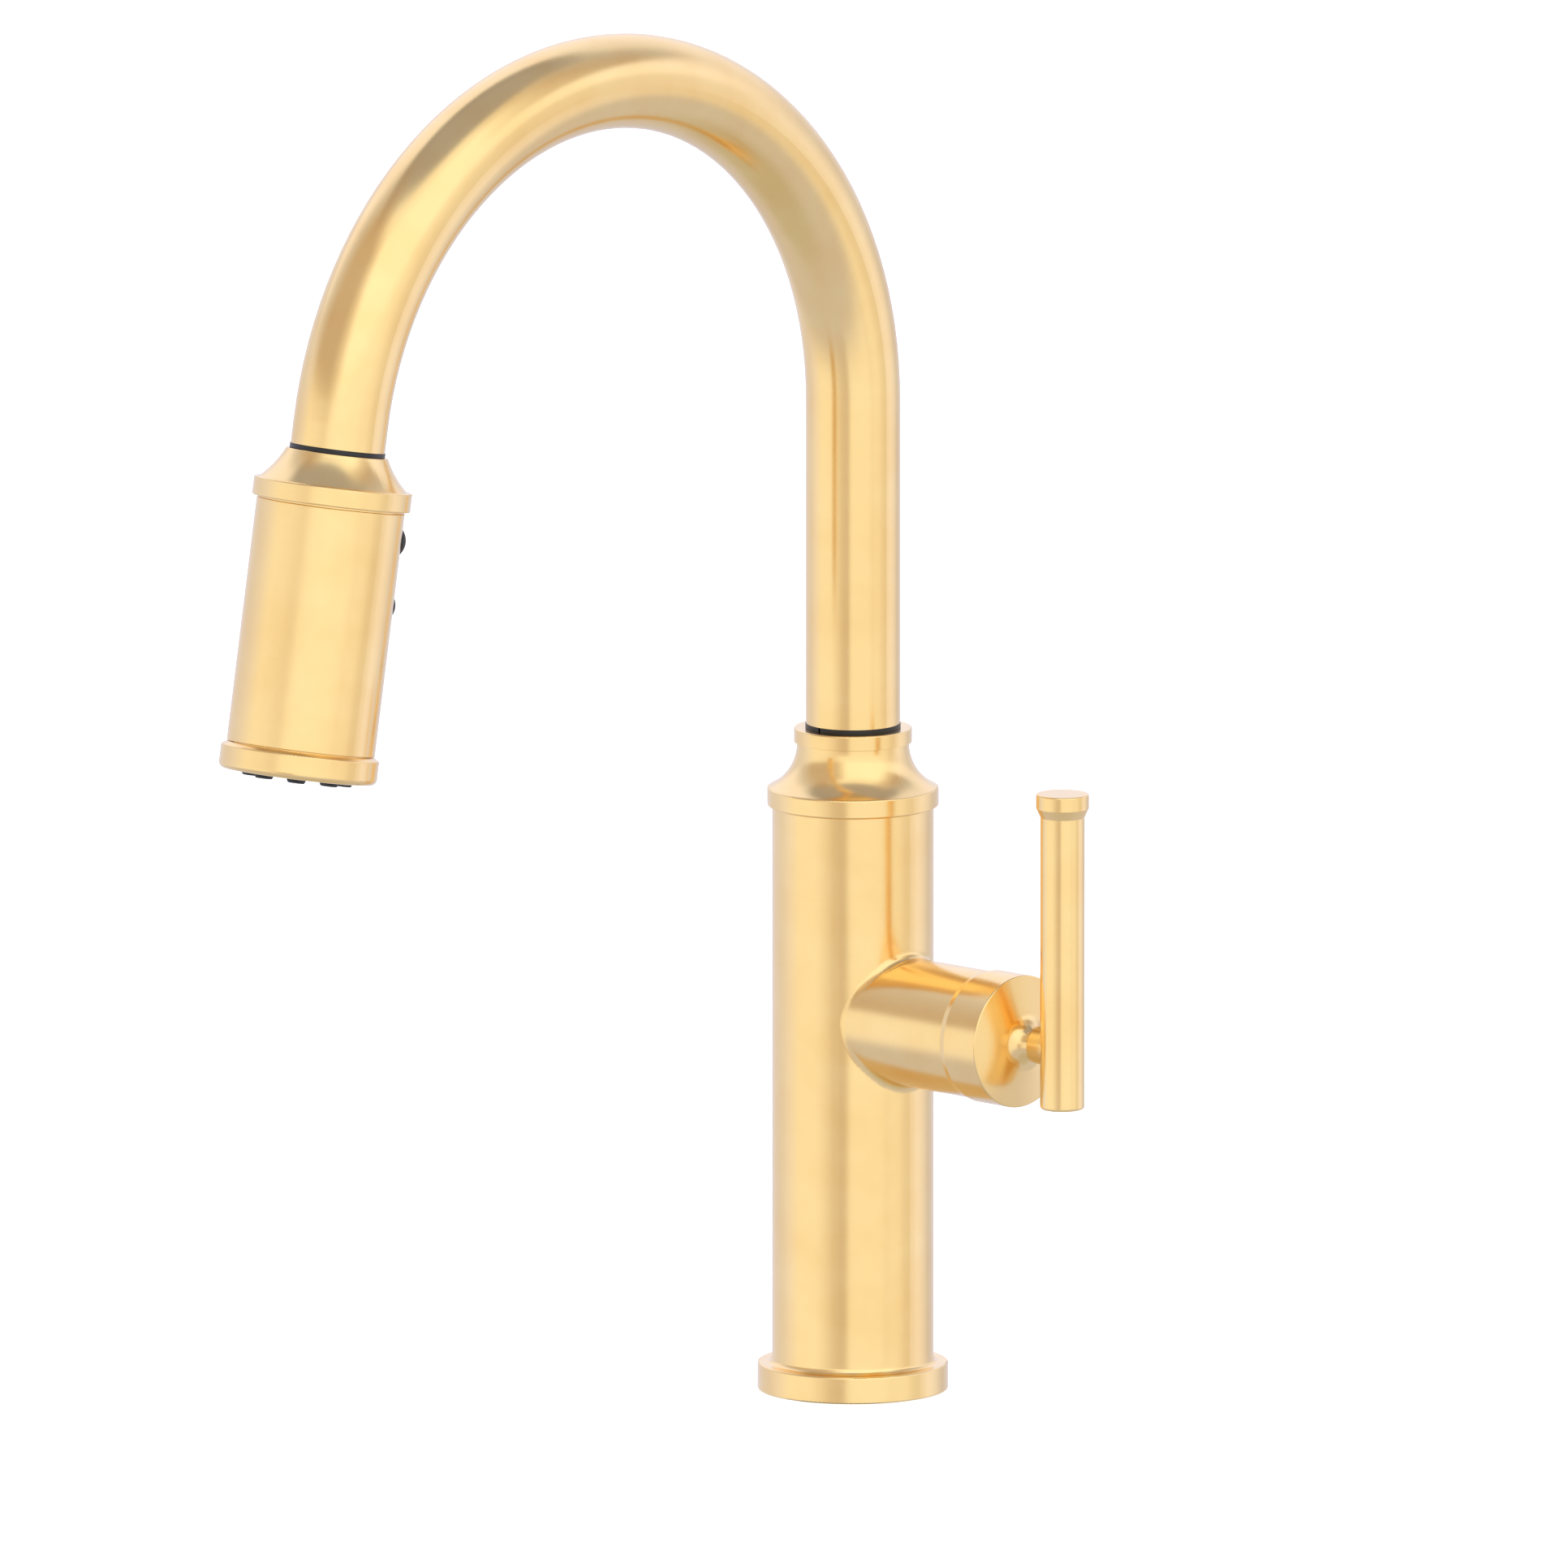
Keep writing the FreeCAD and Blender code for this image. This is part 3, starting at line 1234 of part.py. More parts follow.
def waterway_core():
    """The moulded waterway inside the grip: an inlet, two channels and a bay for the buttons."""
    low = CORE_TOP
    high = CORE_BOTTOM
    core = cylinder(SHELL_BORE_R - CORE_GAP, low, high)
    core = core.cut(cylinder(STEM_BORE_R, low - CUT, low + CORE_INLET_DEPTH))
    core = core.cut(cylinder(AERATOR_R - AERATOR_WALL, high - CORE_OUTLET_DEPTH, high + CUT))
    for turn in (120, 240):
        channel = cylinder(CORE_CHANNEL_R, low + CORE_INLET_DEPTH, high + CUT)
        channel.translate(polar(CORE_CHANNEL_CIRCLE, BUTTON_AZIMUTH + turn))
        core = core.cut(channel)
    half_width = BUTTON_R + BUTTON_GAP + FREE_GAP
    half_length = (STREAM_BUTTON_AT - SPRAY_BUTTON_AT) / 2 + half_width
    floor = rocker_top() - ROCKER_THICKNESS - BAY_FLOOR_GAP
    bay = box((-half_length, -half_width, floor), (half_length, half_width, HEAD_R))
    pin_hole = rocker_trunnion(ROCKER_PIN_R + RUN_GAP, half_width + ROCKER_PIN_IN_WALL + FREE_GAP)
    return on_head(core.cut(at_buttons(bay)).cut(at_buttons(pin_hole)))


def rocker_trunnion(radius, half_length):
    height = rocker_top() - ROCKER_THICKNESS / 2
    return Part.makeCylinder(radius, 2 * half_length, V(0, -half_length, height), V(0, 1, 0))


def selector_rocker():
    """The see-saw under the two buttons: as one goes in, it lifts the other."""
    reach = (STREAM_BUTTON_AT - SPRAY_BUTTON_AT) / 2 + ROCKER_PAST_BUTTON
    top = rocker_top()
    blade = box((-reach, -ROCKER_WIDTH / 2, top - ROCKER_THICKNESS), (reach, ROCKER_WIDTH / 2, top))
    pin = rocker_trunnion(ROCKER_PIN_R, BUTTON_R + BUTTON_GAP + FREE_GAP + ROCKER_PIN_IN_WALL)
    rocker = joined(blade, pin)
    rest_tilt = math.degrees(BUTTON_TRAVEL / (STREAM_BUTTON_AT - SPRAY_BUTTON_AT))
    rocker.rotate(V(0, 0, top - ROCKER_THICKNESS / 2), V(0, 1, 0), rest_tilt)
    return on_head(at_buttons(rocker))


def push_button(along_head, proud):
    """A black dome that slides in the grip's wall, with a short shank behind it."""
    top = HEAD_R + proud
    low = top - BUTTON_HEAD_DEPTH
    dome_r = (BUTTON_R ** 2 + BUTTON_DOME ** 2) / (2 * BUTTON_DOME)
    dome = Part.makeSphere(dome_r, V(0, 0, top - dome_r))
    head = cylinder(BUTTON_R, low, top).common(dome)
    shank = cylinder(BUTTON_SHANK_R, low - BUTTON_SHANK_DEPTH, low)
    return on_head(at_button(joined(head, shank), along_head))


def spray_button():
    return push_button(SPRAY_BUTTON_AT, BUTTON_PROUD_OUT)


def stream_button():
    return push_button(STREAM_BUTTON_AT, BUTTON_PROUD_IN)


def hot_inlet_tube():
    return supply_tube("hot")


def cold_inlet_tube():
    return supply_tube("cold")


PARTS = [
    base_flange, base_gasket, body_shell, shoulder_cap, valve_block,
    mounting_shank, deck_washer, steel_washer, mounting_nut, clamp_screws,
    hot_inlet_tube, cold_inlet_tube, outlet_tube,
    cartridge_sleeve, cartridge_housing, port_seals, fixed_disc, cartridge_nut, hub_bonnet,
    spindle_carrier, tilt_pin, moving_disc, disc_driver,
    cartridge_stem, lever_cap, handle_set_screw, lever_neck, lever_bar, lever_knob,
    spout_tube, spout_spigot, swivel_ring, lower_bearing, friction_ring, retaining_clip,
    dock_bushing, dock_magnet, spray_hose, hose_coupling,
    hose_tail, hose_ferrule,
    head_inlet, tail_seal, head_magnet_ring, wand_collar, wand_shell, wand_bezel,
    waterway_core, diffuser_plate, spray_face, spray_nozzles, aerator,
    selector_rocker, spray_button, stream_button,
]


def main():
    os.makedirs("parts", exist_ok=True)
    for make in PARTS:
        shape = make()
        name = make.__name__
        state = "valid" if shape.isValid() else "NOT VALID"
        print(name, len(shape.Solids), "solid(s)", round(shape.Volume, 1), "mm3", state)
        shape.exportStep("parts/" + name + ".step")


main()
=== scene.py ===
# %% [markdown]
# # A brushed gold pull-down kitchen faucet
#
# The metal parts of this faucet were drawn in CAD and are loaded here as a fixed frame. This
# lesson gives every part its finish, models the pieces that CAD drew plainly, and sets up a
# small photo studio round the result. Sizes are in metres, +Z is up, the spout reaches over
# the sink towards -Y and the handle is on the +X side.

import math

import bpy
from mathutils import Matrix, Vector


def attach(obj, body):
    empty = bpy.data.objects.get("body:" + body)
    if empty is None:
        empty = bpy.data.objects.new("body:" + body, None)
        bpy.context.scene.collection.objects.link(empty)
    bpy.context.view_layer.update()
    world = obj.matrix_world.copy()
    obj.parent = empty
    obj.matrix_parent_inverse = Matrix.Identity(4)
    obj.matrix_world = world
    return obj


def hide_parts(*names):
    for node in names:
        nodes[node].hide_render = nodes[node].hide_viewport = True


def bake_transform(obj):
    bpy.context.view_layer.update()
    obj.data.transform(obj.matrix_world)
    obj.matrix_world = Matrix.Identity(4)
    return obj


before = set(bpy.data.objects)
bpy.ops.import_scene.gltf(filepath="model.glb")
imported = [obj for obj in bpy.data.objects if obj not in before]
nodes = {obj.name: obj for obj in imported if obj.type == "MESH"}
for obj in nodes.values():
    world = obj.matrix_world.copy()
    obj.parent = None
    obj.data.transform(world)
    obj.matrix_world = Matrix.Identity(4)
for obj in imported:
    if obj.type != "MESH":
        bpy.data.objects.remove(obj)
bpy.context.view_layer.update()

# %% [markdown]
# ## Where things are
#
# The finishes and the new pieces follow the faucet's own axes, so those are written down
# once. The faucet's upright axis is world Z. The handle's hub lies along X at one height.
# The spout's arch bends round a centre, and the spray head hangs from the spout's end. The
# head's axis leans ten degrees out from the body as it goes down.

# %% Places and axes
MM = 0.001
HUB_HEIGHT = 115.7 * MM
ARCH_START = 304.2 * MM
ARCH_R = 109.7 * MM
HEAD_TIP = math.radians(10)
TAIL = 7.7 * MM                # straight length of the spout past its arch
BAR_OUT = 89.4 * MM            # from the faucet's axis to the axis of the handle's bar
HUB_BEGINS = 24.6 * MM         # along X, where the body's brushing gives way to the hub's
HUB_TAKES_OVER = 26.5 * MM

head_down = Vector((0, -math.sin(HEAD_TIP), -math.cos(HEAD_TIP)))
arch_end = Vector((0, -ARCH_R - ARCH_R * math.cos(HEAD_TIP), ARCH_START + ARCH_R * math.sin(HEAD_TIP)))
spout_end = arch_end + head_down * TAIL
print("spout's end in mm:", [round(v / MM, 1) for v in spout_end])

# %% [markdown]
# ## Helpers for colours and nodes
#
# Colours are easiest to pick as sRGB hex values, but shaders work in linear light, so one
# function turns one into the other. A second small function adds a node, sets its properties
# and fills or links its inputs, so that each material reads as a short list of nodes. The
# same call adds the Principled shader at the end of every material.

# %% Helpers


def linear(hex_colour):
    """An sRGB hex colour as linear RGBA."""
    channels = [int(hex_colour[i:i + 2], 16) / 255 for i in (1, 3, 5)]
    return [c / 12.92 if c <= 0.04045 else ((c + 0.055) / 1.055) ** 2.4 for c in channels] + [1.0]


def add(tree, kind, settings=None, **inputs):
    """Adds a node. Inputs named i0, i1 ... go by number and others by name, _ for a space."""
    node = tree.nodes.new(kind)
    for key, value in (settings or {}).items():
        setattr(node, key, value)
    for key, value in inputs.items():
        numbered = key[0] == "i" and key[1:].isdigit()
        socket = node.inputs[int(key[1:]) if numbered else key.replace("_", " ")]
        if isinstance(value, bpy.types.NodeSocket):
            tree.links.new(value, socket)
        else:
            socket.default_value = value
    return node


def set_stops(ramp, stops):
    """Gives a colour ramp its stops: (position, linear colour) pairs in rising order."""
    elements = ramp.color_ramp.elements
    while len(elements) < len(stops):
        elements.new(0.5)
    for element, (position, colour) in zip(elements, stops):
        element.position = position
        element.color = colour


def new_material(name):
    """A material with an empty node tree."""
    material = bpy.data.materials.new(name)
    material.use_nodes = True
    material.node_tree.nodes.clear()
    return material, material.node_tree


def finish_material(tree, **inputs):
    """The surface itself, with its values and links, and the output."""
    shader = add(tree, "ShaderNodeBsdfPrincipled", **inputs)
    add(tree, "ShaderNodeOutputMaterial", i0=shader.outputs[0])


def dress(material, *names):
    """Puts one material on CAD nodes."""
    for name in names:
        mesh = nodes[name].data
        for i in range(len(mesh.materials)):
            mesh.materials[i] = material
    print(material.name, "on", len(names), "nodes")


# %% [markdown]
# ## Coordinates that follow a turned part
#
# Turned and drawn metal carries fine lines round its axis. To draw them, a pattern needs one
# number that changes along the surface and stays the same round it: the height along the axis
# plus the distance from the axis does that on cylinders, cones and flat ends alike. It is
# made here from Object coordinates, which sit still on the part when it moves. The Mapping
# node first moves the part's axis on to Z.

# %% Axis coordinates


def about_axis(tree, centre=(0, 0, 0), turn=(0, 0, 0)):
    """Height along an axis, distance from it and angle round it, all from Object coordinates."""
    place = add(tree, "ShaderNodeTexCoord").outputs["Object"]
    settings = {"vector_type": "TEXTURE"}
    local = add(tree, "ShaderNodeMapping", settings, Vector=place, Location=centre, Rotation=turn)
    parts = add(tree, "ShaderNodeSeparateXYZ", i0=local.outputs[0])
    x, y, z = parts.outputs
    flat = add(tree, "ShaderNodeCombineXYZ", X=x, Y=y)
    distance = add(tree, "ShaderNodeVectorMath", {"operation": "LENGTH"}, i0=flat.outputs[0])
    angle = add(tree, "ShaderNodeMath", {"operation": "ARCTAN2"}, i0=y, i1=x)
    return z, distance.outputs["Value"], angle.outputs[0]


def along_turned(tree, centre=(0, 0, 0), turn=(0, 0, 0)):
    """The number that runs along a turned surface."""
    height, distance, _ = about_axis(tree, centre, turn)
    return add(tree, "ShaderNodeMath", i0=height, i1=distance).outputs[0]


def along_arch(tree):
    """The number that runs up the spout tube and over its arch."""
    place = add(tree, "ShaderNodeTexCoord").outputs["Object"]
    _, y, z = add(tree, "ShaderNodeSeparateXYZ", i0=place).outputs
    out = add(tree, "ShaderNodeMath", i0=y, i1=ARCH_R).outputs[0]
    up = add(tree, "ShaderNodeMath", i0=z, i1=-ARCH_START).outputs[0]
    turned_by = add(tree, "ShaderNodeMath", {"operation": "ARCTAN2"}, i0=up, i1=out).outputs[0]
    past_start = add(tree, "ShaderNodeMath", {"operation": "MAXIMUM"}, i0=turned_by, i1=0.0).outputs[0]
    on_arch = add(tree, "ShaderNodeMath", {"operation": "MULTIPLY"}, i0=past_start, i1=ARCH_R).outputs[0]
    on_rise = add(tree, "ShaderNodeMath", {"operation": "MINIMUM"}, i0=up, i1=0.0).outputs[0]
    return add(tree, "ShaderNodeMath", i0=on_arch, i1=on_rise).outputs[0]


# %% [markdown]
# ## Brushed gold
#
# The outer parts are brass and stainless steel with a brushed gold finish, laid on by PVD
# (a vapour coating). The brushing is very fine, so the metal looks satin: reflections stay
# clear but have soft edges, and they are drawn out a little along the part. The real lines
# are about 0.05 mm apart. They are drawn 0.35 mm apart here, because finer ones would vanish
# in the render. Noise stretched into lines drives a very small bump, and a broad, slow noise
# varies the roughness, like the faint handling marks on real satin metal.

# %% Brushed gold
GOLD = "#FFDF9F"
GOLD_WORN = "#FCD896"
BRUSH_PITCH = 0.35 * MM
BRUSH_LENGTH = 40 * MM
GRAIN = 0.3 * MM
CLOUD_SIZE = 18 * MM
NOISE_LOW = 0.3                # a noise texture seldom leaves these two levels
NOISE_HIGH = 0.7
SATIN_LEAST = 0.16
SATIN_MOST = 0.22
BRUSH_BUMP = 0.07
BRUSH_DEPTH = 0.02 * MM


def brushed_gold(name, along):
    """Satin gold whose fine lines cross the direction that `along` measures."""
    material, tree = new_material(name)
    place = add(tree, "ShaderNodeTexCoord").outputs["Object"]
    line = add(tree, "ShaderNodeMath", {"operation": "MULTIPLY"}, i0=along(tree), i1=1 / BRUSH_PITCH)
    drift = add(tree, "ShaderNodeVectorMath", {"operation": "SCALE"}, i0=place, Scale=1 / BRUSH_LENGTH)
    stretched = add(tree, "ShaderNodeCombineXYZ", X=line.outputs[0])
    vector = add(tree, "ShaderNodeVectorMath", i0=stretched.outputs[0], i1=drift.outputs[0])
    lines = add(tree, "ShaderNodeTexNoise", Vector=vector.outputs[0], Scale=1.0, Detail=3.0)
    clouds = add(tree, "ShaderNodeTexNoise", Vector=place, Scale=1 / CLOUD_SIZE, Detail=4.0)
    tint = add(tree, "ShaderNodeValToRGB", i0=clouds.outputs[0])
    set_stops(tint, [(0.35, linear(GOLD_WORN)), (0.65, linear(GOLD))])
    grain = add(tree, "ShaderNodeTexNoise", Vector=place, Scale=1 / GRAIN, Detail=2.0)
    mixed = add(tree, "ShaderNodeMath", i0=lines.outputs[0], i1=clouds.outputs[0])
    rough = add(
        tree, "ShaderNodeMapRange", i0=mixed.outputs[0],
        i1=2 * NOISE_LOW, i2=2 * NOISE_HIGH, i3=SATIN_LEAST, i4=SATIN_MOST,
    )
    height = add(tree, "ShaderNodeMath", i0=lines.outputs[0], i1=grain.outputs[0])
    bump = add(tree, "ShaderNodeBump", Strength=BRUSH_BUMP, Distance=BRUSH_DEPTH, Height=height.outputs[0])
    finish_material(
        tree, Base_Color=tint.outputs[0], Roughness=rough.outputs[0], Normal=bump.outputs[0], Metallic=1.0)
    return material


print("brushed lines every", BRUSH_PITCH / MM, "mm, roughness", SATIN_LEAST, "to", SATIN_MOST)

# %% [markdown]
# ## Which way each part is brushed
#
# Every gold part is brushed round its own axis, so each one gets the same metal with its own
# direction. The body and its side hub are one casting with two axes. There the direction
# changes over from the body's to the hub's just outside the body's own radius.

# %% Brushing directions


def along_hub(tree):
    """Out along the handle's hub."""
    return along_turned(tree, (0, 0, HUB_HEIGHT), (0, math.pi / 2, 0))


def along_head(tree):
    """Down the spray head."""
    return along_turned(tree, spout_end, (math.pi - HEAD_TIP, 0, 0))


def along_body(tree):
    """Up the body, and along the hub where the hub stands out of it."""
    place = add(tree, "ShaderNodeTexCoord").outputs["Object"]
    x = add(tree, "ShaderNodeSeparateXYZ", i0=place).outputs[0]
    share = add(tree, "ShaderNodeMapRange", i0=x, i1=HUB_BEGINS, i2=HUB_TAKES_OVER).outputs[0]
    mix = add(tree, "ShaderNodeMix", i0=share, i2=along_turned(tree), i3=along_hub(tree))
    return mix.outputs[0]


def along_bar(tree):
    """Up the handle's bar."""
    return along_turned(tree, (BAR_OUT, 0, 0))


dress(brushed_gold("gold_upright", along_turned), "base_flange", "shoulder_cap")
dress(brushed_gold("gold_body", along_body), "body_shell")
dress(brushed_gold("gold_hub", along_hub), "hub_bonnet", "lever_cap", "lever_neck")
dress(brushed_gold("gold_bar", along_bar), "lever_bar", "lever_knob")
dress(brushed_gold("gold_arch", along_arch), "spout_tube")
dress(brushed_gold("gold_head", along_head), "wand_collar", "wand_shell", "wand_bezel")

# %% [markdown]
# ## Plain metals
#
# Inside and under the deck are metals that nobody polishes: turned brass, zinc plated steel,
# stainless steel, drawn copper and a nickel plated magnet. They differ in colour, in how
# rough they are and in how strong their tool marks are, so one function makes them all.
# Turning marks are real at 0.2 to 0.5 mm, and a coarse cloud noise gives the patchy bloom of
# plated or drawn metal.

# %% Plain metals
BLOOM_SIZE = 6 * MM
METAL_SPREAD = 0.08            # how far the roughness goes to either side
MARK_DEPTH = 0.05 * MM


def plain_metal(name, light, dark, roughness, pitch, mark):
    """Unpolished metal: two close colours in clouds, and tool marks of one pitch and strength."""
    material, tree = new_material(name)
    place = add(tree, "ShaderNodeTexCoord").outputs["Object"]
    line = add(tree, "ShaderNodeMath", {"operation": "MULTIPLY"}, i0=along_turned(tree), i1=1 / pitch)
    marks = add(tree, "ShaderNodeTexNoise", {"noise_dimensions": "1D"}, W=line.outputs[0], Scale=1.0)
    clouds = add(tree, "ShaderNodeTexNoise", Vector=place, Scale=1 / BLOOM_SIZE, Detail=5.0)
    tint = add(tree, "ShaderNodeValToRGB", i0=clouds.outputs[0])
    set_stops(tint, [(0.35, linear(dark)), (0.65, linear(light))])
    roughest = roughness + METAL_SPREAD
    rough = add(tree, "ShaderNodeMapRange", i0=clouds.outputs[0], i3=roughest, i4=roughness - METAL_SPREAD)
    bump = add(tree, "ShaderNodeBump", Strength=mark, Distance=MARK_DEPTH, Height=marks.outputs[0])
    finish_material(
        tree, Base_Color=tint.outputs[0], Roughness=rough.outputs[0], Normal=bump.outputs[0], Metallic=1.0)
    return material


turned_brass = plain_metal("turned_brass", "#D9B46C", "#BC9450", roughness=0.34, pitch=0.3 * MM, mark=0.4)
zinc_steel = plain_metal("zinc_plated_steel", "#CFD2D6", "#AEB4BA", roughness=0.38, pitch=0.5 * MM, mark=0.15)
stainless = plain_metal("turned_stainless", "#D2D0CC", "#BDBBB6", roughness=0.28, pitch=0.2 * MM, mark=0.3)
copper = plain_metal("drawn_copper", "#D98E63", "#B56D48", roughness=0.30, pitch=0.5 * MM, mark=0.1)
magnet = plain_metal("nickel_plated_magnet", "#B5B2AB", "#98958E", roughness=0.22, pitch=0.5 * MM, mark=0.05)
dress(turned_brass, "valve_block", "mounting_nut", "cartridge_sleeve", "cartridge_nut")
dress(turned_brass, "spout_spigot", "hose_coupling", "hose_tail")
dress(zinc_steel, "mounting_shank", "steel_washer", "clamp_screws")
dress(stainless, "tilt_pin", "cartridge_stem", "handle_set_screw", "retaining_clip")
dress(stainless, "hose_ferrule", "head_magnet_ring")
dress(copper, "hot_inlet_tube", "cold_inlet_tube", "outlet_tube")
dress(magnet, "dock_magnet")

# %% [markdown]
# ## Plastics, rubber and ceramic
#
# Moulded acetal is slightly waxy and even, with a fine spark-eroded texture of about 0.1 mm.
# Silicone rubber is darker and duller, with a soft sheen and a grain of about 0.25 mm.
# Lapped ceramic is off-white and very smooth. All three are non-metals, so the same function
# serves: a colour in faint clouds, a roughness and a grain.

# %% Plastics, rubber and ceramic
MOULD_CLOUD = 5 * MM
MOULD_SPREAD = 0.06
MOULD_DEPTH = 0.05 * MM


def moulded(name, light, dark, roughness, grain, bump, index=1.5):
    """A non-metal with faint clouds of colour and a fine moulded grain."""
    material, tree = new_material(name)
    place = add(tree, "ShaderNodeTexCoord").outputs["Object"]
    clouds = add(tree, "ShaderNodeTexNoise", Vector=place, Scale=1 / MOULD_CLOUD, Detail=4.0)
    specks = add(tree, "ShaderNodeTexNoise", Vector=place, Scale=1 / grain, Detail=2.0)
    tint = add(tree, "ShaderNodeValToRGB", i0=clouds.outputs[0])
    set_stops(tint, [(0.3, linear(dark)), (0.7, linear(light))])
    smoothest = roughness - MOULD_SPREAD
    rough = add(tree, "ShaderNodeMapRange", i0=specks.outputs[0], i3=smoothest, i4=roughness + MOULD_SPREAD)
    relief = add(tree, "ShaderNodeBump", Strength=bump, Distance=MOULD_DEPTH, Height=specks.outputs[0])
    finish_material(
        tree, Base_Color=tint.outputs[0], Roughness=rough.outputs[0], Normal=relief.outputs[0], IOR=index)
    return material


FINE = 0.12 * MM
grey_acetal = moulded("grey_acetal", "#C2C4C6", "#B4B6B9", roughness=0.42, grain=FINE, bump=0.2)
dark_plastic = moulded("dark_grey_plastic", "#3A3A3C", "#2E2E30", roughness=0.40, grain=FINE, bump=0.3)
black_acetal = moulded("black_acetal", "#1D1D1E", "#141415", roughness=0.36, grain=FINE, bump=0.2)
black_rubber = moulded("silicone_rubber", "#2B2A29", "#1F1E1D", 0.50, grain=0.25 * MM, bump=0.35, index=1.43)
ceramic = moulded("lapped_ceramic", "#F4F1E9", "#EAE6DC", 0.16, grain=0.3 * MM, bump=0.02, index=1.7)
dress(grey_acetal, "cartridge_housing", "spindle_carrier", "disc_driver", "head_inlet")
dress(grey_acetal, "waterway_core", "diffuser_plate", "selector_rocker")
dress(dark_plastic, "spray_face")
dress(black_acetal, "swivel_ring", "lower_bearing", "dock_bushing", "aerator")
dress(black_rubber, "base_gasket", "deck_washer", "port_seals", "friction_ring", "tail_seal")
dress(black_rubber, "spray_nozzles", "spray_button", "stream_button")
dress(ceramic, "fixed_disc", "moving_disc")

# %% [markdown]
# ## Braided nylon
#
# The spray hose is a rubber tube in a jacket of braided nylon. Two families of strands wind
# round it in opposite directions and pass over and under each other. The braid is drawn by
# numbers: the angle round the hose and the length along it give two slanting coordinates,
# one for each family. Where the whole parts of the two add up to an even number, the first
# family is on top, elsewhere the second one. Real strands are 0.8 mm wide; these are 1.6 mm,
# so that the braid still shows. A few strands are light grey tracers.

# %% Braided nylon
HOSE_R = 6.0 * MM
STRANDS = 24
STRAND_RISE = 2 * math.pi * HOSE_R / STRANDS
TRACER_EVERY = 6.0
BRAID_BUMP = 0.8
BRAID_DEPTH = 0.3 * MM


def braid_family(tree, operation, around, along):
    """One family of strands: its rounded humps, its whole parts and its tracers."""
    slant = add(tree, "ShaderNodeMath", {"operation": operation}, i0=around, i1=along).outputs[0]
    cell = add(tree, "ShaderNodeMath", {"operation": "FLOOR"}, i0=slant).outputs[0]
    half_turns = add(tree, "ShaderNodeMath", {"operation": "MULTIPLY"}, i0=slant, i1=math.pi).outputs[0]
    wave = add(tree, "ShaderNodeMath", {"operation": "SINE"}, i0=half_turns).outputs[0]
    hump = add(tree, "ShaderNodeMath", {"operation": "ABSOLUTE"}, i0=wave).outputs[0]
    turn = add(tree, "ShaderNodeMath", {"operation": "FLOORED_MODULO"}, i0=cell, i1=TRACER_EVERY).outputs[0]
    tracer = add(tree, "ShaderNodeMath", {"operation": "LESS_THAN"}, i0=turn, i1=0.5).outputs[0]
    return hump, cell, tracer


def braided_nylon(name, hose_place):
    """A braid over a hose; `hose_place` gives the length along the hose and the angle round it."""
    material, tree = new_material(name)
    length, angle = hose_place(tree)
    per_radian = STRANDS / (2 * math.pi)
    around = add(tree, "ShaderNodeMath", {"operation": "MULTIPLY"}, i0=angle, i1=per_radian).outputs[0]
    along = add(tree, "ShaderNodeMath", {"operation": "DIVIDE"}, i0=length, i1=STRAND_RISE).outputs[0]
    right_hump, right_cell, right_tracer = braid_family(tree, "ADD", around, along)
    left_hump, left_cell, left_tracer = braid_family(tree, "SUBTRACT", around, along)
    both = add(tree, "ShaderNodeMath", i0=right_cell, i1=left_cell).outputs[0]
    on_top = add(tree, "ShaderNodeMath", {"operation": "FLOORED_MODULO"}, i0=both, i1=2.0).outputs[0]
    strand = add(tree, "ShaderNodeMix", i0=on_top, i2=right_hump, i3=left_hump).outputs[0]
    tracer = add(tree, "ShaderNodeMix", i0=on_top, i2=right_tracer, i3=left_tracer).outputs[0]
    # Painted shade and painted highlight: both ramps darken each strand towards its edges, where it meets its
    # neighbours, and lighten its crown. The strands' own colours are dark grey nylon and light grey tracers.
    dark = add(tree, "ShaderNodeValToRGB", i0=strand)
    set_stops(dark, [(0.0, linear("#1B1B1D")), (0.6, linear("#4A4A4E")), (1.0, linear("#5C5C61"))])
    light = add(tree, "ShaderNodeValToRGB", i0=strand)
    set_stops(light, [(0.0, linear("#3A3A3C")), (0.6, linear("#9A9A9E")), (1.0, linear("#B4B4B8"))])
    colours = {"i0": tracer, "i6": dark.outputs[0], "i7": light.outputs[0]}
    colour = add(tree, "ShaderNodeMix", {"data_type": "RGBA"}, **colours)
    bump = add(tree, "ShaderNodeBump", Strength=BRAID_BUMP, Distance=BRAID_DEPTH, Height=strand)
    rough = add(tree, "ShaderNodeMapRange", i0=strand, i3=0.75, i4=0.45)
    finish_material(tree, Base_Color=colour.outputs[2], Roughness=rough.outputs[0], Normal=bump.outputs[0])
    return material


def place_in_arch(tree):
    """Length and angle on a hose that runs up the axis and round the arch."""
    place = add(tree, "ShaderNodeTexCoord").outputs["Object"]
    x, y, z = add(tree, "ShaderNodeSeparateXYZ", i0=place).outputs
    out = add(tree, "ShaderNodeMath", i0=y, i1=ARCH_R).outputs[0]
    over_start = add(tree, "ShaderNodeMath", i0=z, i1=-ARCH_START).outputs[0]
    up = add(tree, "ShaderNodeMath", {"operation": "MAXIMUM"}, i0=over_start, i1=0.0).outputs[0]
    spoke = add(tree, "ShaderNodeCombineXYZ", Y=out, Z=up).outputs[0]
    from_centre = add(tree, "ShaderNodeVectorMath", {"operation": "LENGTH"}, i0=spoke).outputs["Value"]
    side = add(tree, "ShaderNodeMath", i0=from_centre, i1=-ARCH_R).outputs[0]
    angle = add(tree, "ShaderNodeMath", {"operation": "ARCTAN2"}, i0=side, i1=x).outputs[0]
    return along_arch(tree), angle


def place_on_head_axis(tree):
    """Length and angle on a hose that runs straight along the spray head's axis."""
    height, _, angle = about_axis(tree, spout_end, (math.pi - HEAD_TIP, 0, 0))
    return height, angle


print("strands round the hose:", STRANDS, "rise of a strand in mm:", round(STRAND_RISE / MM, 2))
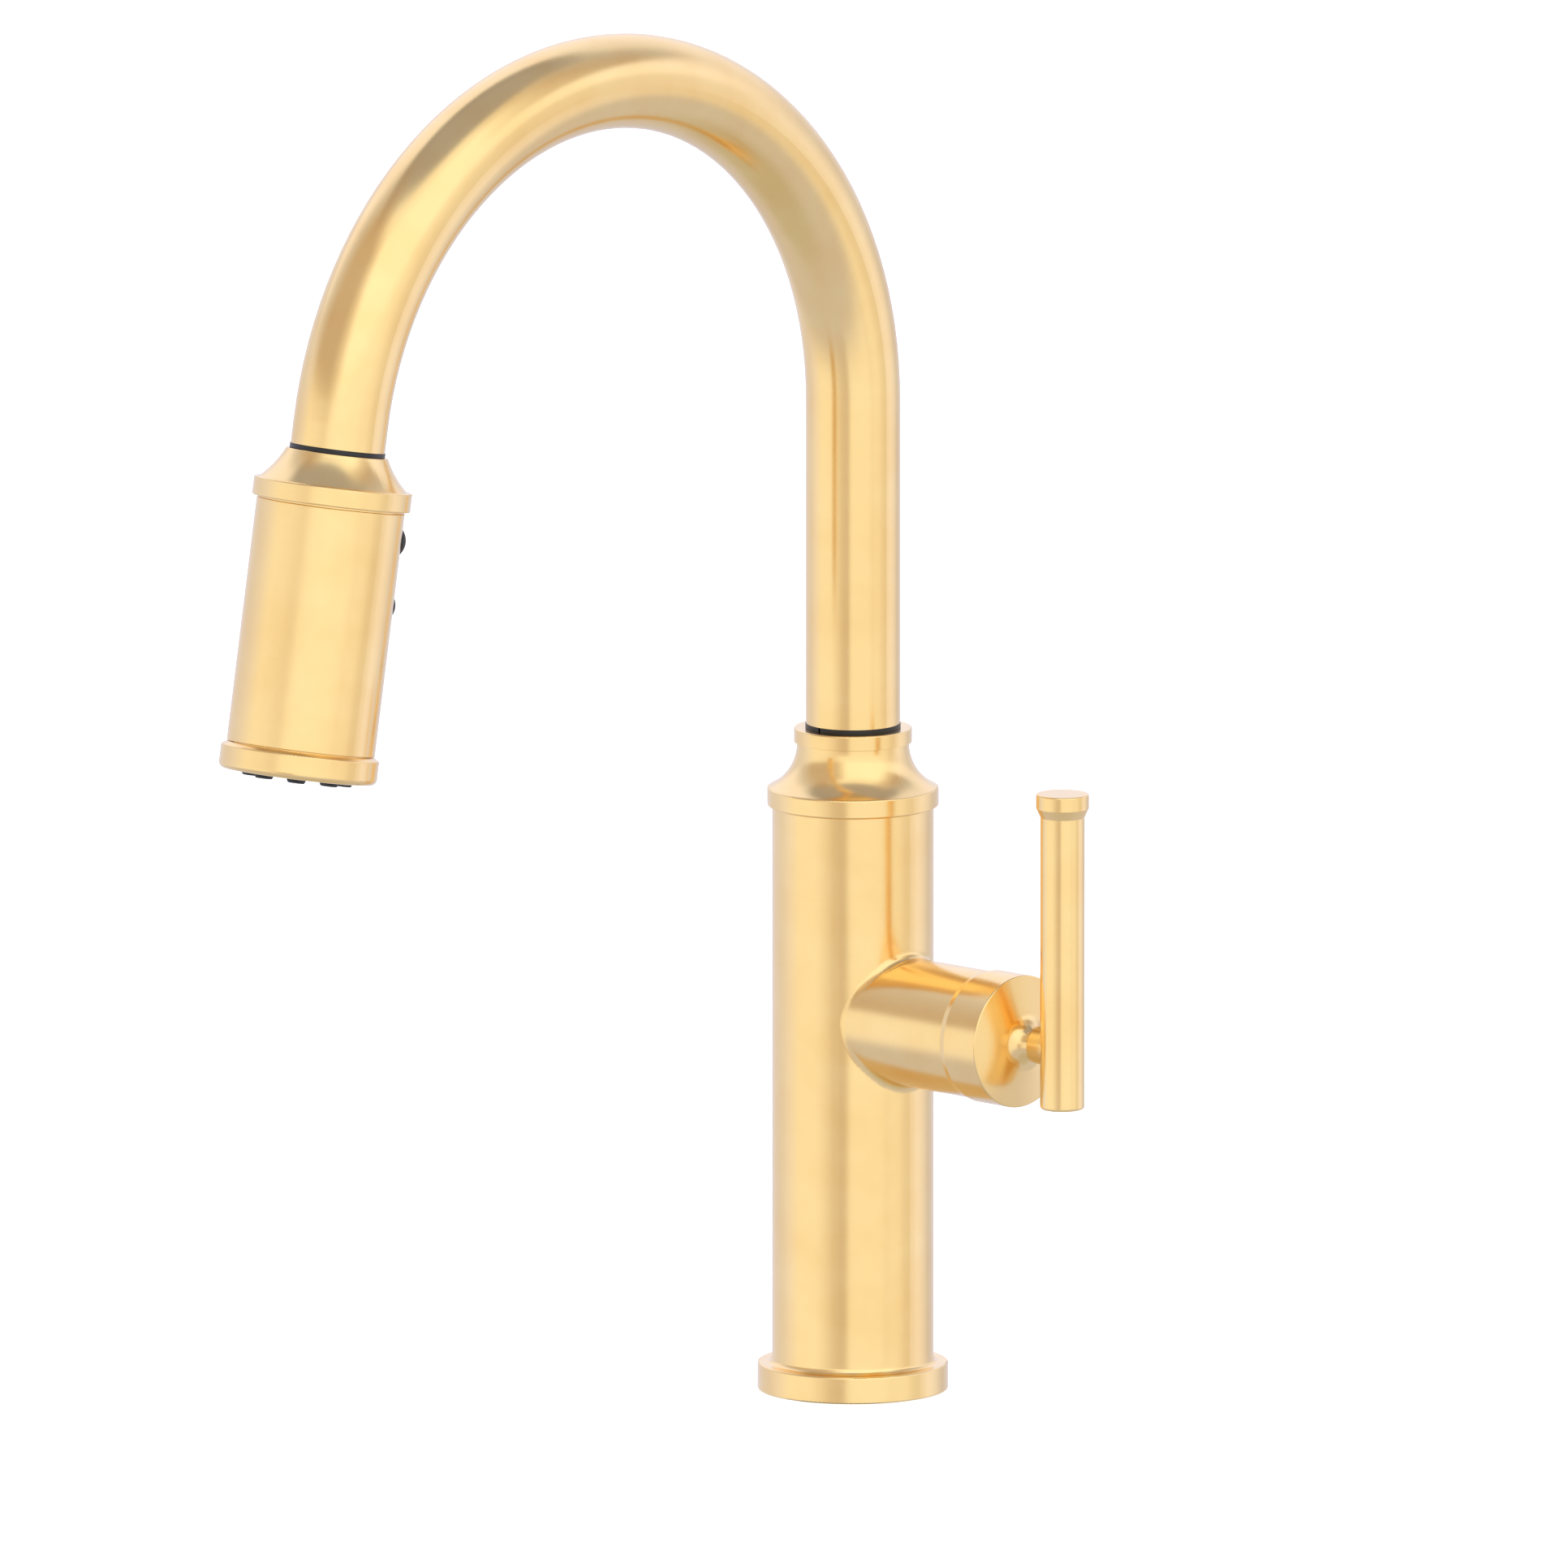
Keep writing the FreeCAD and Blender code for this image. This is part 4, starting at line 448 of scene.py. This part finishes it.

# %% [markdown]
# ## The spray hose
#
# The hose runs from under the deck up inside the spout, round the arch and down to the spray
# head. It is made the way it lies: a circle of points is drawn up the faucet's axis and spun
# round the arch. Its last ring is then set back to where the next piece begins, which folds
# the skin for about eight millimetres, hidden inside the spout. Then the skin is given the
# hose's wall. The last few millimetres are a piece of their own, whose beginning lies in the
# same place as that fold. They are cut into many short rings, because
# this is where the hose comes out when the head is pulled.

# %% Spray hose
HOSE_WALL = 2.2 * MM
HOSE_SIDES = 32
HOSE_BOTTOM = -70.0 * MM
RISE_STEPS = 20
ARCH_STEPS = 64
HOSE_SPLIT = -16.0 * MM        # along the head's axis, where the drawn piece begins
HOSE_TOP = -6.0 * MM
DRAWN_RINGS = 80
SMOOTH_UNDER = math.radians(40)


def head_point(along):
    """A point on the spray head's axis, measured from the spout's end."""
    return spout_end + head_down * along


def start_ring(name, centre, tilt):
    """A circle of points round the hose's line, open for extruding."""
    bpy.ops.object.select_all(action="DESELECT")
    bpy.ops.mesh.primitive_circle_add(
        vertices=HOSE_SIDES, radius=HOSE_R, location=centre, rotation=(tilt, 0, 0))
    hose = bpy.context.object
    hose.name = name
    bpy.ops.object.transform_apply(location=True, rotation=True, scale=True)
    bpy.ops.object.mode_set(mode="EDIT")
    bpy.ops.mesh.select_all(action="SELECT")
    return hose


def push_ring(step, count):
    """Draws the selected ring on in equal steps."""
    for _ in range(count):
        bpy.ops.mesh.extrude_region_move(TRANSFORM_OT_translate={"value": step})


def finish_hose(hose, material):
    """Normals out, smooth sides, and the hose's wall."""
    bpy.ops.mesh.select_all(action="SELECT")
    bpy.ops.mesh.normals_make_consistent(inside=False)
    bpy.ops.object.mode_set(mode="OBJECT")
    wall = hose.modifiers.new("wall", "SOLIDIFY")
    wall.thickness = HOSE_WALL
    wall.offset = -1
    bpy.ops.object.modifier_apply(modifier="wall")
    bpy.ops.object.shade_smooth_by_angle(angle=SMOOTH_UNDER)
    hose.data.materials.append(material)
    print(hose.name, "faces:", len(hose.data.polygons))


held_hose = start_ring("hose_in_spout", (0, 0, HOSE_BOTTOM), 0)
push_ring((0, 0, (ARCH_START - HOSE_BOTTOM) / RISE_STEPS), RISE_STEPS)
arch_centre = (0, -ARCH_R, ARCH_START)
bpy.ops.mesh.spin(steps=ARCH_STEPS, angle=HEAD_TIP - math.pi, center=arch_centre, axis=(1, 0, 0))
push_ring(head_down * (TAIL + HOSE_SPLIT), 1)
finish_hose(held_hose, braided_nylon("braided_nylon", place_in_arch))
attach(held_hose, "spout")
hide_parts("spray_hose")

drawn_hose = start_ring("hose_drawn", head_point(HOSE_SPLIT), -HEAD_TIP)
push_ring(head_down * (HOSE_TOP - HOSE_SPLIT) / DRAWN_RINGS, DRAWN_RINGS)
finish_hose(drawn_hose, braided_nylon("braided_nylon_drawn", place_on_head_axis))
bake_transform(drawn_hose)

# %% [markdown]
# ## The studio
#
# The faucet stands on a plain pale deck. Satin metal shows its surroundings as long soft
# bands, so the light matters as much as the metal. The world is drawn as rows of soft lights,
# one above the other. Each row is a list of brightness levels round the camera's direction:
# a wide softbox in front, darker gaps beside it that draw the tan bands down each tube, and
# a white backdrop behind. Higher up, the room is darker except for the front softbox, and
# overhead behind the faucet is darkest. The floor is kept out of reflections, so that the
# lower lights show in the metal instead of a blank sheet, and it glows a little so that it
# stays white.

# %% Studio
CAMERA_AZIMUTH = 45
LIGHT = 1.03
LEVEL_RING = [
    (-180, 0.78), (-137, 0.76), (-119, 0.80), (-104, 0.90), (-84, 1.0), (-54, 1.0), (-38, 0.88),
    (-28, 0.74), (-14, 0.66), (-10, 0.74), (-5, 1.0), (40, 1.0), (49, 0.93), (56, 0.97),
    (70, 0.95), (80, 0.82), (88, 0.82), (104, 0.98), (119, 0.88), (137, 0.66), (180, 0.78),
]
RAISED_RING = [
    (-180, 0.90), (-137, 0.74), (-110, 0.84), (-84, 1.0), (-58, 0.98), (-38, 0.90), (-24, 1.06), (50, 1.06),
    (70, 0.95), (82, 0.84), (108, 0.93), (137, 0.68), (180, 0.90),
]
HIGH_RING = [
    (-180, 1.0), (-135, 1.0), (-115, 0.68), (-92, 0.58), (-45, 0.60), (-28, 0.80), (-12, 1.16), (60, 1.16),
    (75, 1.05), (105, 1.05), (130, 0.90), (180, 1.0),
]
UPPER_RING = [
    (-180, 1.0), (-135, 1.0), (-115, 0.66), (-92, 0.60), (-45, 0.60), (-28, 0.80), (-12, 1.16), (60, 1.16),
    (80, 0.75), (98, 0.55), (125, 0.55), (145, 0.85), (180, 1.0),
]
OVERHEAD_RING = [
    (-180, 0.34), (-120, 0.38), (-80, 0.50), (-50, 0.75), (-30, 1.05), (50, 1.05), (80, 0.75), (120, 0.42),
    (180, 0.34),
]
# Each row: the elevation where it starts to show, where it is full, and its ring of lights.
LIGHT_ROWS = [
    (-75, -45, [(-180, 0.64), (180, 0.64)]),
    (-32, -17, LEVEL_RING),
    (-5, 2, RAISED_RING),
    (8, 18, HIGH_RING),
    (27, 36, UPPER_RING),
    (50, 58, OVERHEAD_RING),
    (60, 72, [(-180, 0.42), (180, 0.42)]),
]
BACK_STARTS = 100              # degrees from the camera
BACK_TINT = (1.0, 1.02, 1.26)
WARMTH = (1.0, 1.28, 1.40)
UNDERNEATH = (0.55, 0.55, 0.55, 1)

world = bpy.data.worlds.new("studio_light")
world.use_nodes = True
sky = world.node_tree
sky.nodes.clear()
direction = add(sky, "ShaderNodeTexCoord").outputs["Generated"]
to_camera = add(sky, "ShaderNodeMapping", Vector=direction, Rotation=(0, 0, math.radians(CAMERA_AZIMUTH)))
x, y, z = add(sky, "ShaderNodeSeparateXYZ", i0=to_camera.outputs[0]).outputs
angle = add(sky, "ShaderNodeMath", {"operation": "ARCTAN2"}, i0=y, i1=x)
round_share = add(sky, "ShaderNodeMapRange", i0=angle.outputs[0], i1=-math.pi, i2=math.pi).outputs[0]


def light_colour(degrees, level):
    """The backdrop is a cool white; in front, the darker gaps are the warmer ones."""
    if abs(degrees) > BACK_STARTS:
        return [level * tint for tint in BACK_TINT] + [1]
    return [level ** power for power in WARMTH] + [1]


light = add(sky, "ShaderNodeRGB").outputs[0]
light.default_value = UNDERNEATH
for start, full, ring in LIGHT_ROWS:
    row = add(sky, "ShaderNodeValToRGB", i0=round_share)
    set_stops(row, [((degrees + 180) / 360, light_colour(degrees, level)) for degrees, level in ring])
    row_starts = math.sin(math.radians(start))
    row_full = math.sin(math.radians(full))
    settings = {"interpolation_type": "SMOOTHSTEP"}
    share = add(sky, "ShaderNodeMapRange", settings, i0=z, i1=row_starts, i2=row_full).outputs[0]
    mix = add(sky, "ShaderNodeMix", {"data_type": "RGBA"}, i0=share, i6=light, i7=row.outputs[0])
    light = mix.outputs[2]
studio = add(sky, "ShaderNodeBackground", Color=light, Strength=LIGHT)
backdrop = add(sky, "ShaderNodeBackground", Color=(1, 1, 1, 1))
seen = add(sky, "ShaderNodeLightPath").outputs["Is Camera Ray"]
light_or_backdrop = add(sky, "ShaderNodeMixShader", i0=seen, i1=studio.outputs[0], i2=backdrop.outputs[0])
add(sky, "ShaderNodeOutputWorld", i0=light_or_backdrop.outputs[0])
bpy.context.scene.world = world
print("rows of lights:", len(LIGHT_ROWS))

# %% [markdown]
# ## The deck
#
# The faucet stands on a plain pale deck, with a sink in front of it that the spray head can be
# drawn down into. The sink's floor is a plane. Its edges are drawn up to make the four walls,
# and then out on all sides, far past the picture, to make the deck. Made this way, the sink and
# the deck are one sheet, with no seam where they meet.

# %% Deck
DECK_TIMES_SINK = 80
DECK_DROP = 0.1 * MM
SINK_WIDTH = 320 * MM
SINK_LENGTH = 300 * MM
SINK_DEPTH = 250 * MM
SINK_FORWARD = 300 * MM
SINK_TOP = Vector((0, -SINK_FORWARD, -DECK_DROP))
SPECKLE_SIZE = 25 * MM
FLOOR_GLOW = 0.55
bpy.ops.object.select_all(action="DESELECT")
bpy.ops.mesh.primitive_plane_add(size=1, location=SINK_TOP - Vector((0, 0, SINK_DEPTH)))
floor = bpy.context.object
floor.name = "pale_deck"
floor.scale = (SINK_WIDTH, SINK_LENGTH, 1)
bpy.ops.object.transform_apply(location=True, rotation=True, scale=True)
bpy.ops.object.mode_set(mode="EDIT")
bpy.ops.mesh.select_all(action="SELECT")
bpy.ops.mesh.extrude_edges_move(TRANSFORM_OT_translate={"value": (0, 0, SINK_DEPTH)})
bpy.ops.mesh.extrude_edges_move()
bpy.ops.transform.resize(value=(DECK_TIMES_SINK, DECK_TIMES_SINK, 1), center_override=SINK_TOP)
bpy.ops.object.mode_set(mode="OBJECT")
print("deck in m:", [round(size, 2) for size in floor.dimensions], "faces:", len(floor.data.polygons))
deck_paint, tree = new_material("pale_deck_paint")
place = add(tree, "ShaderNodeTexCoord").outputs["Object"]
speckle = add(tree, "ShaderNodeTexNoise", Vector=place, Scale=1 / SPECKLE_SIZE)
tint = add(tree, "ShaderNodeValToRGB", i0=speckle.outputs[0])
set_stops(tint, [(0.3, linear("#F7F6F4")), (0.7, linear("#FAF9F8"))])
glow = {"Emission_Color": (1, 1, 1, 1), "Emission_Strength": FLOOR_GLOW}
finish_material(tree, Base_Color=tint.outputs[0], Roughness=0.9, Specular_IOR_Level=0.0, **glow)
floor.data.materials.append(deck_paint)
floor.visible_glossy = False

# %% [markdown]
# ## The camera
#
# A long lens from far away draws the faucet almost without perspective. The camera looks
# from the front right, ten degrees above level.

# %% Camera
ELEVATION = math.radians(10)
TURN = math.radians(CAMERA_AZIMUTH)
LENS = 1500.0
SENSOR = 36.0
VIEW_WIDTH = 475.9 * MM
AIM_RIGHT = -20.9 * MM
AIM_UP = 183.0 * MM
CLIP_NEAR = 0.5
CLIP_FAR = 60.0

level_part = math.cos(ELEVATION)
back = Vector((math.sin(TURN) * level_part, -math.cos(TURN) * level_part, math.sin(ELEVATION)))
right = Vector((math.cos(TURN), math.sin(TURN), 0))
up = back.cross(right)
camera_data = bpy.data.cameras.new("camera")
camera_data.lens = LENS
camera_data.sensor_width = SENSOR
distance = VIEW_WIDTH * LENS / SENSOR
camera_data.clip_start = CLIP_NEAR
camera_data.clip_end = CLIP_FAR
camera = bpy.data.objects.new("camera", camera_data)
camera.location = right * AIM_RIGHT + up * AIM_UP + back * distance
camera.rotation_euler = back.to_track_quat("Z", "Y").to_euler()
bpy.context.scene.collection.objects.link(camera)
bpy.context.scene.camera = camera
bpy.context.scene.view_settings.view_transform = "Standard"
print("camera distance in m:", round(distance, 2))
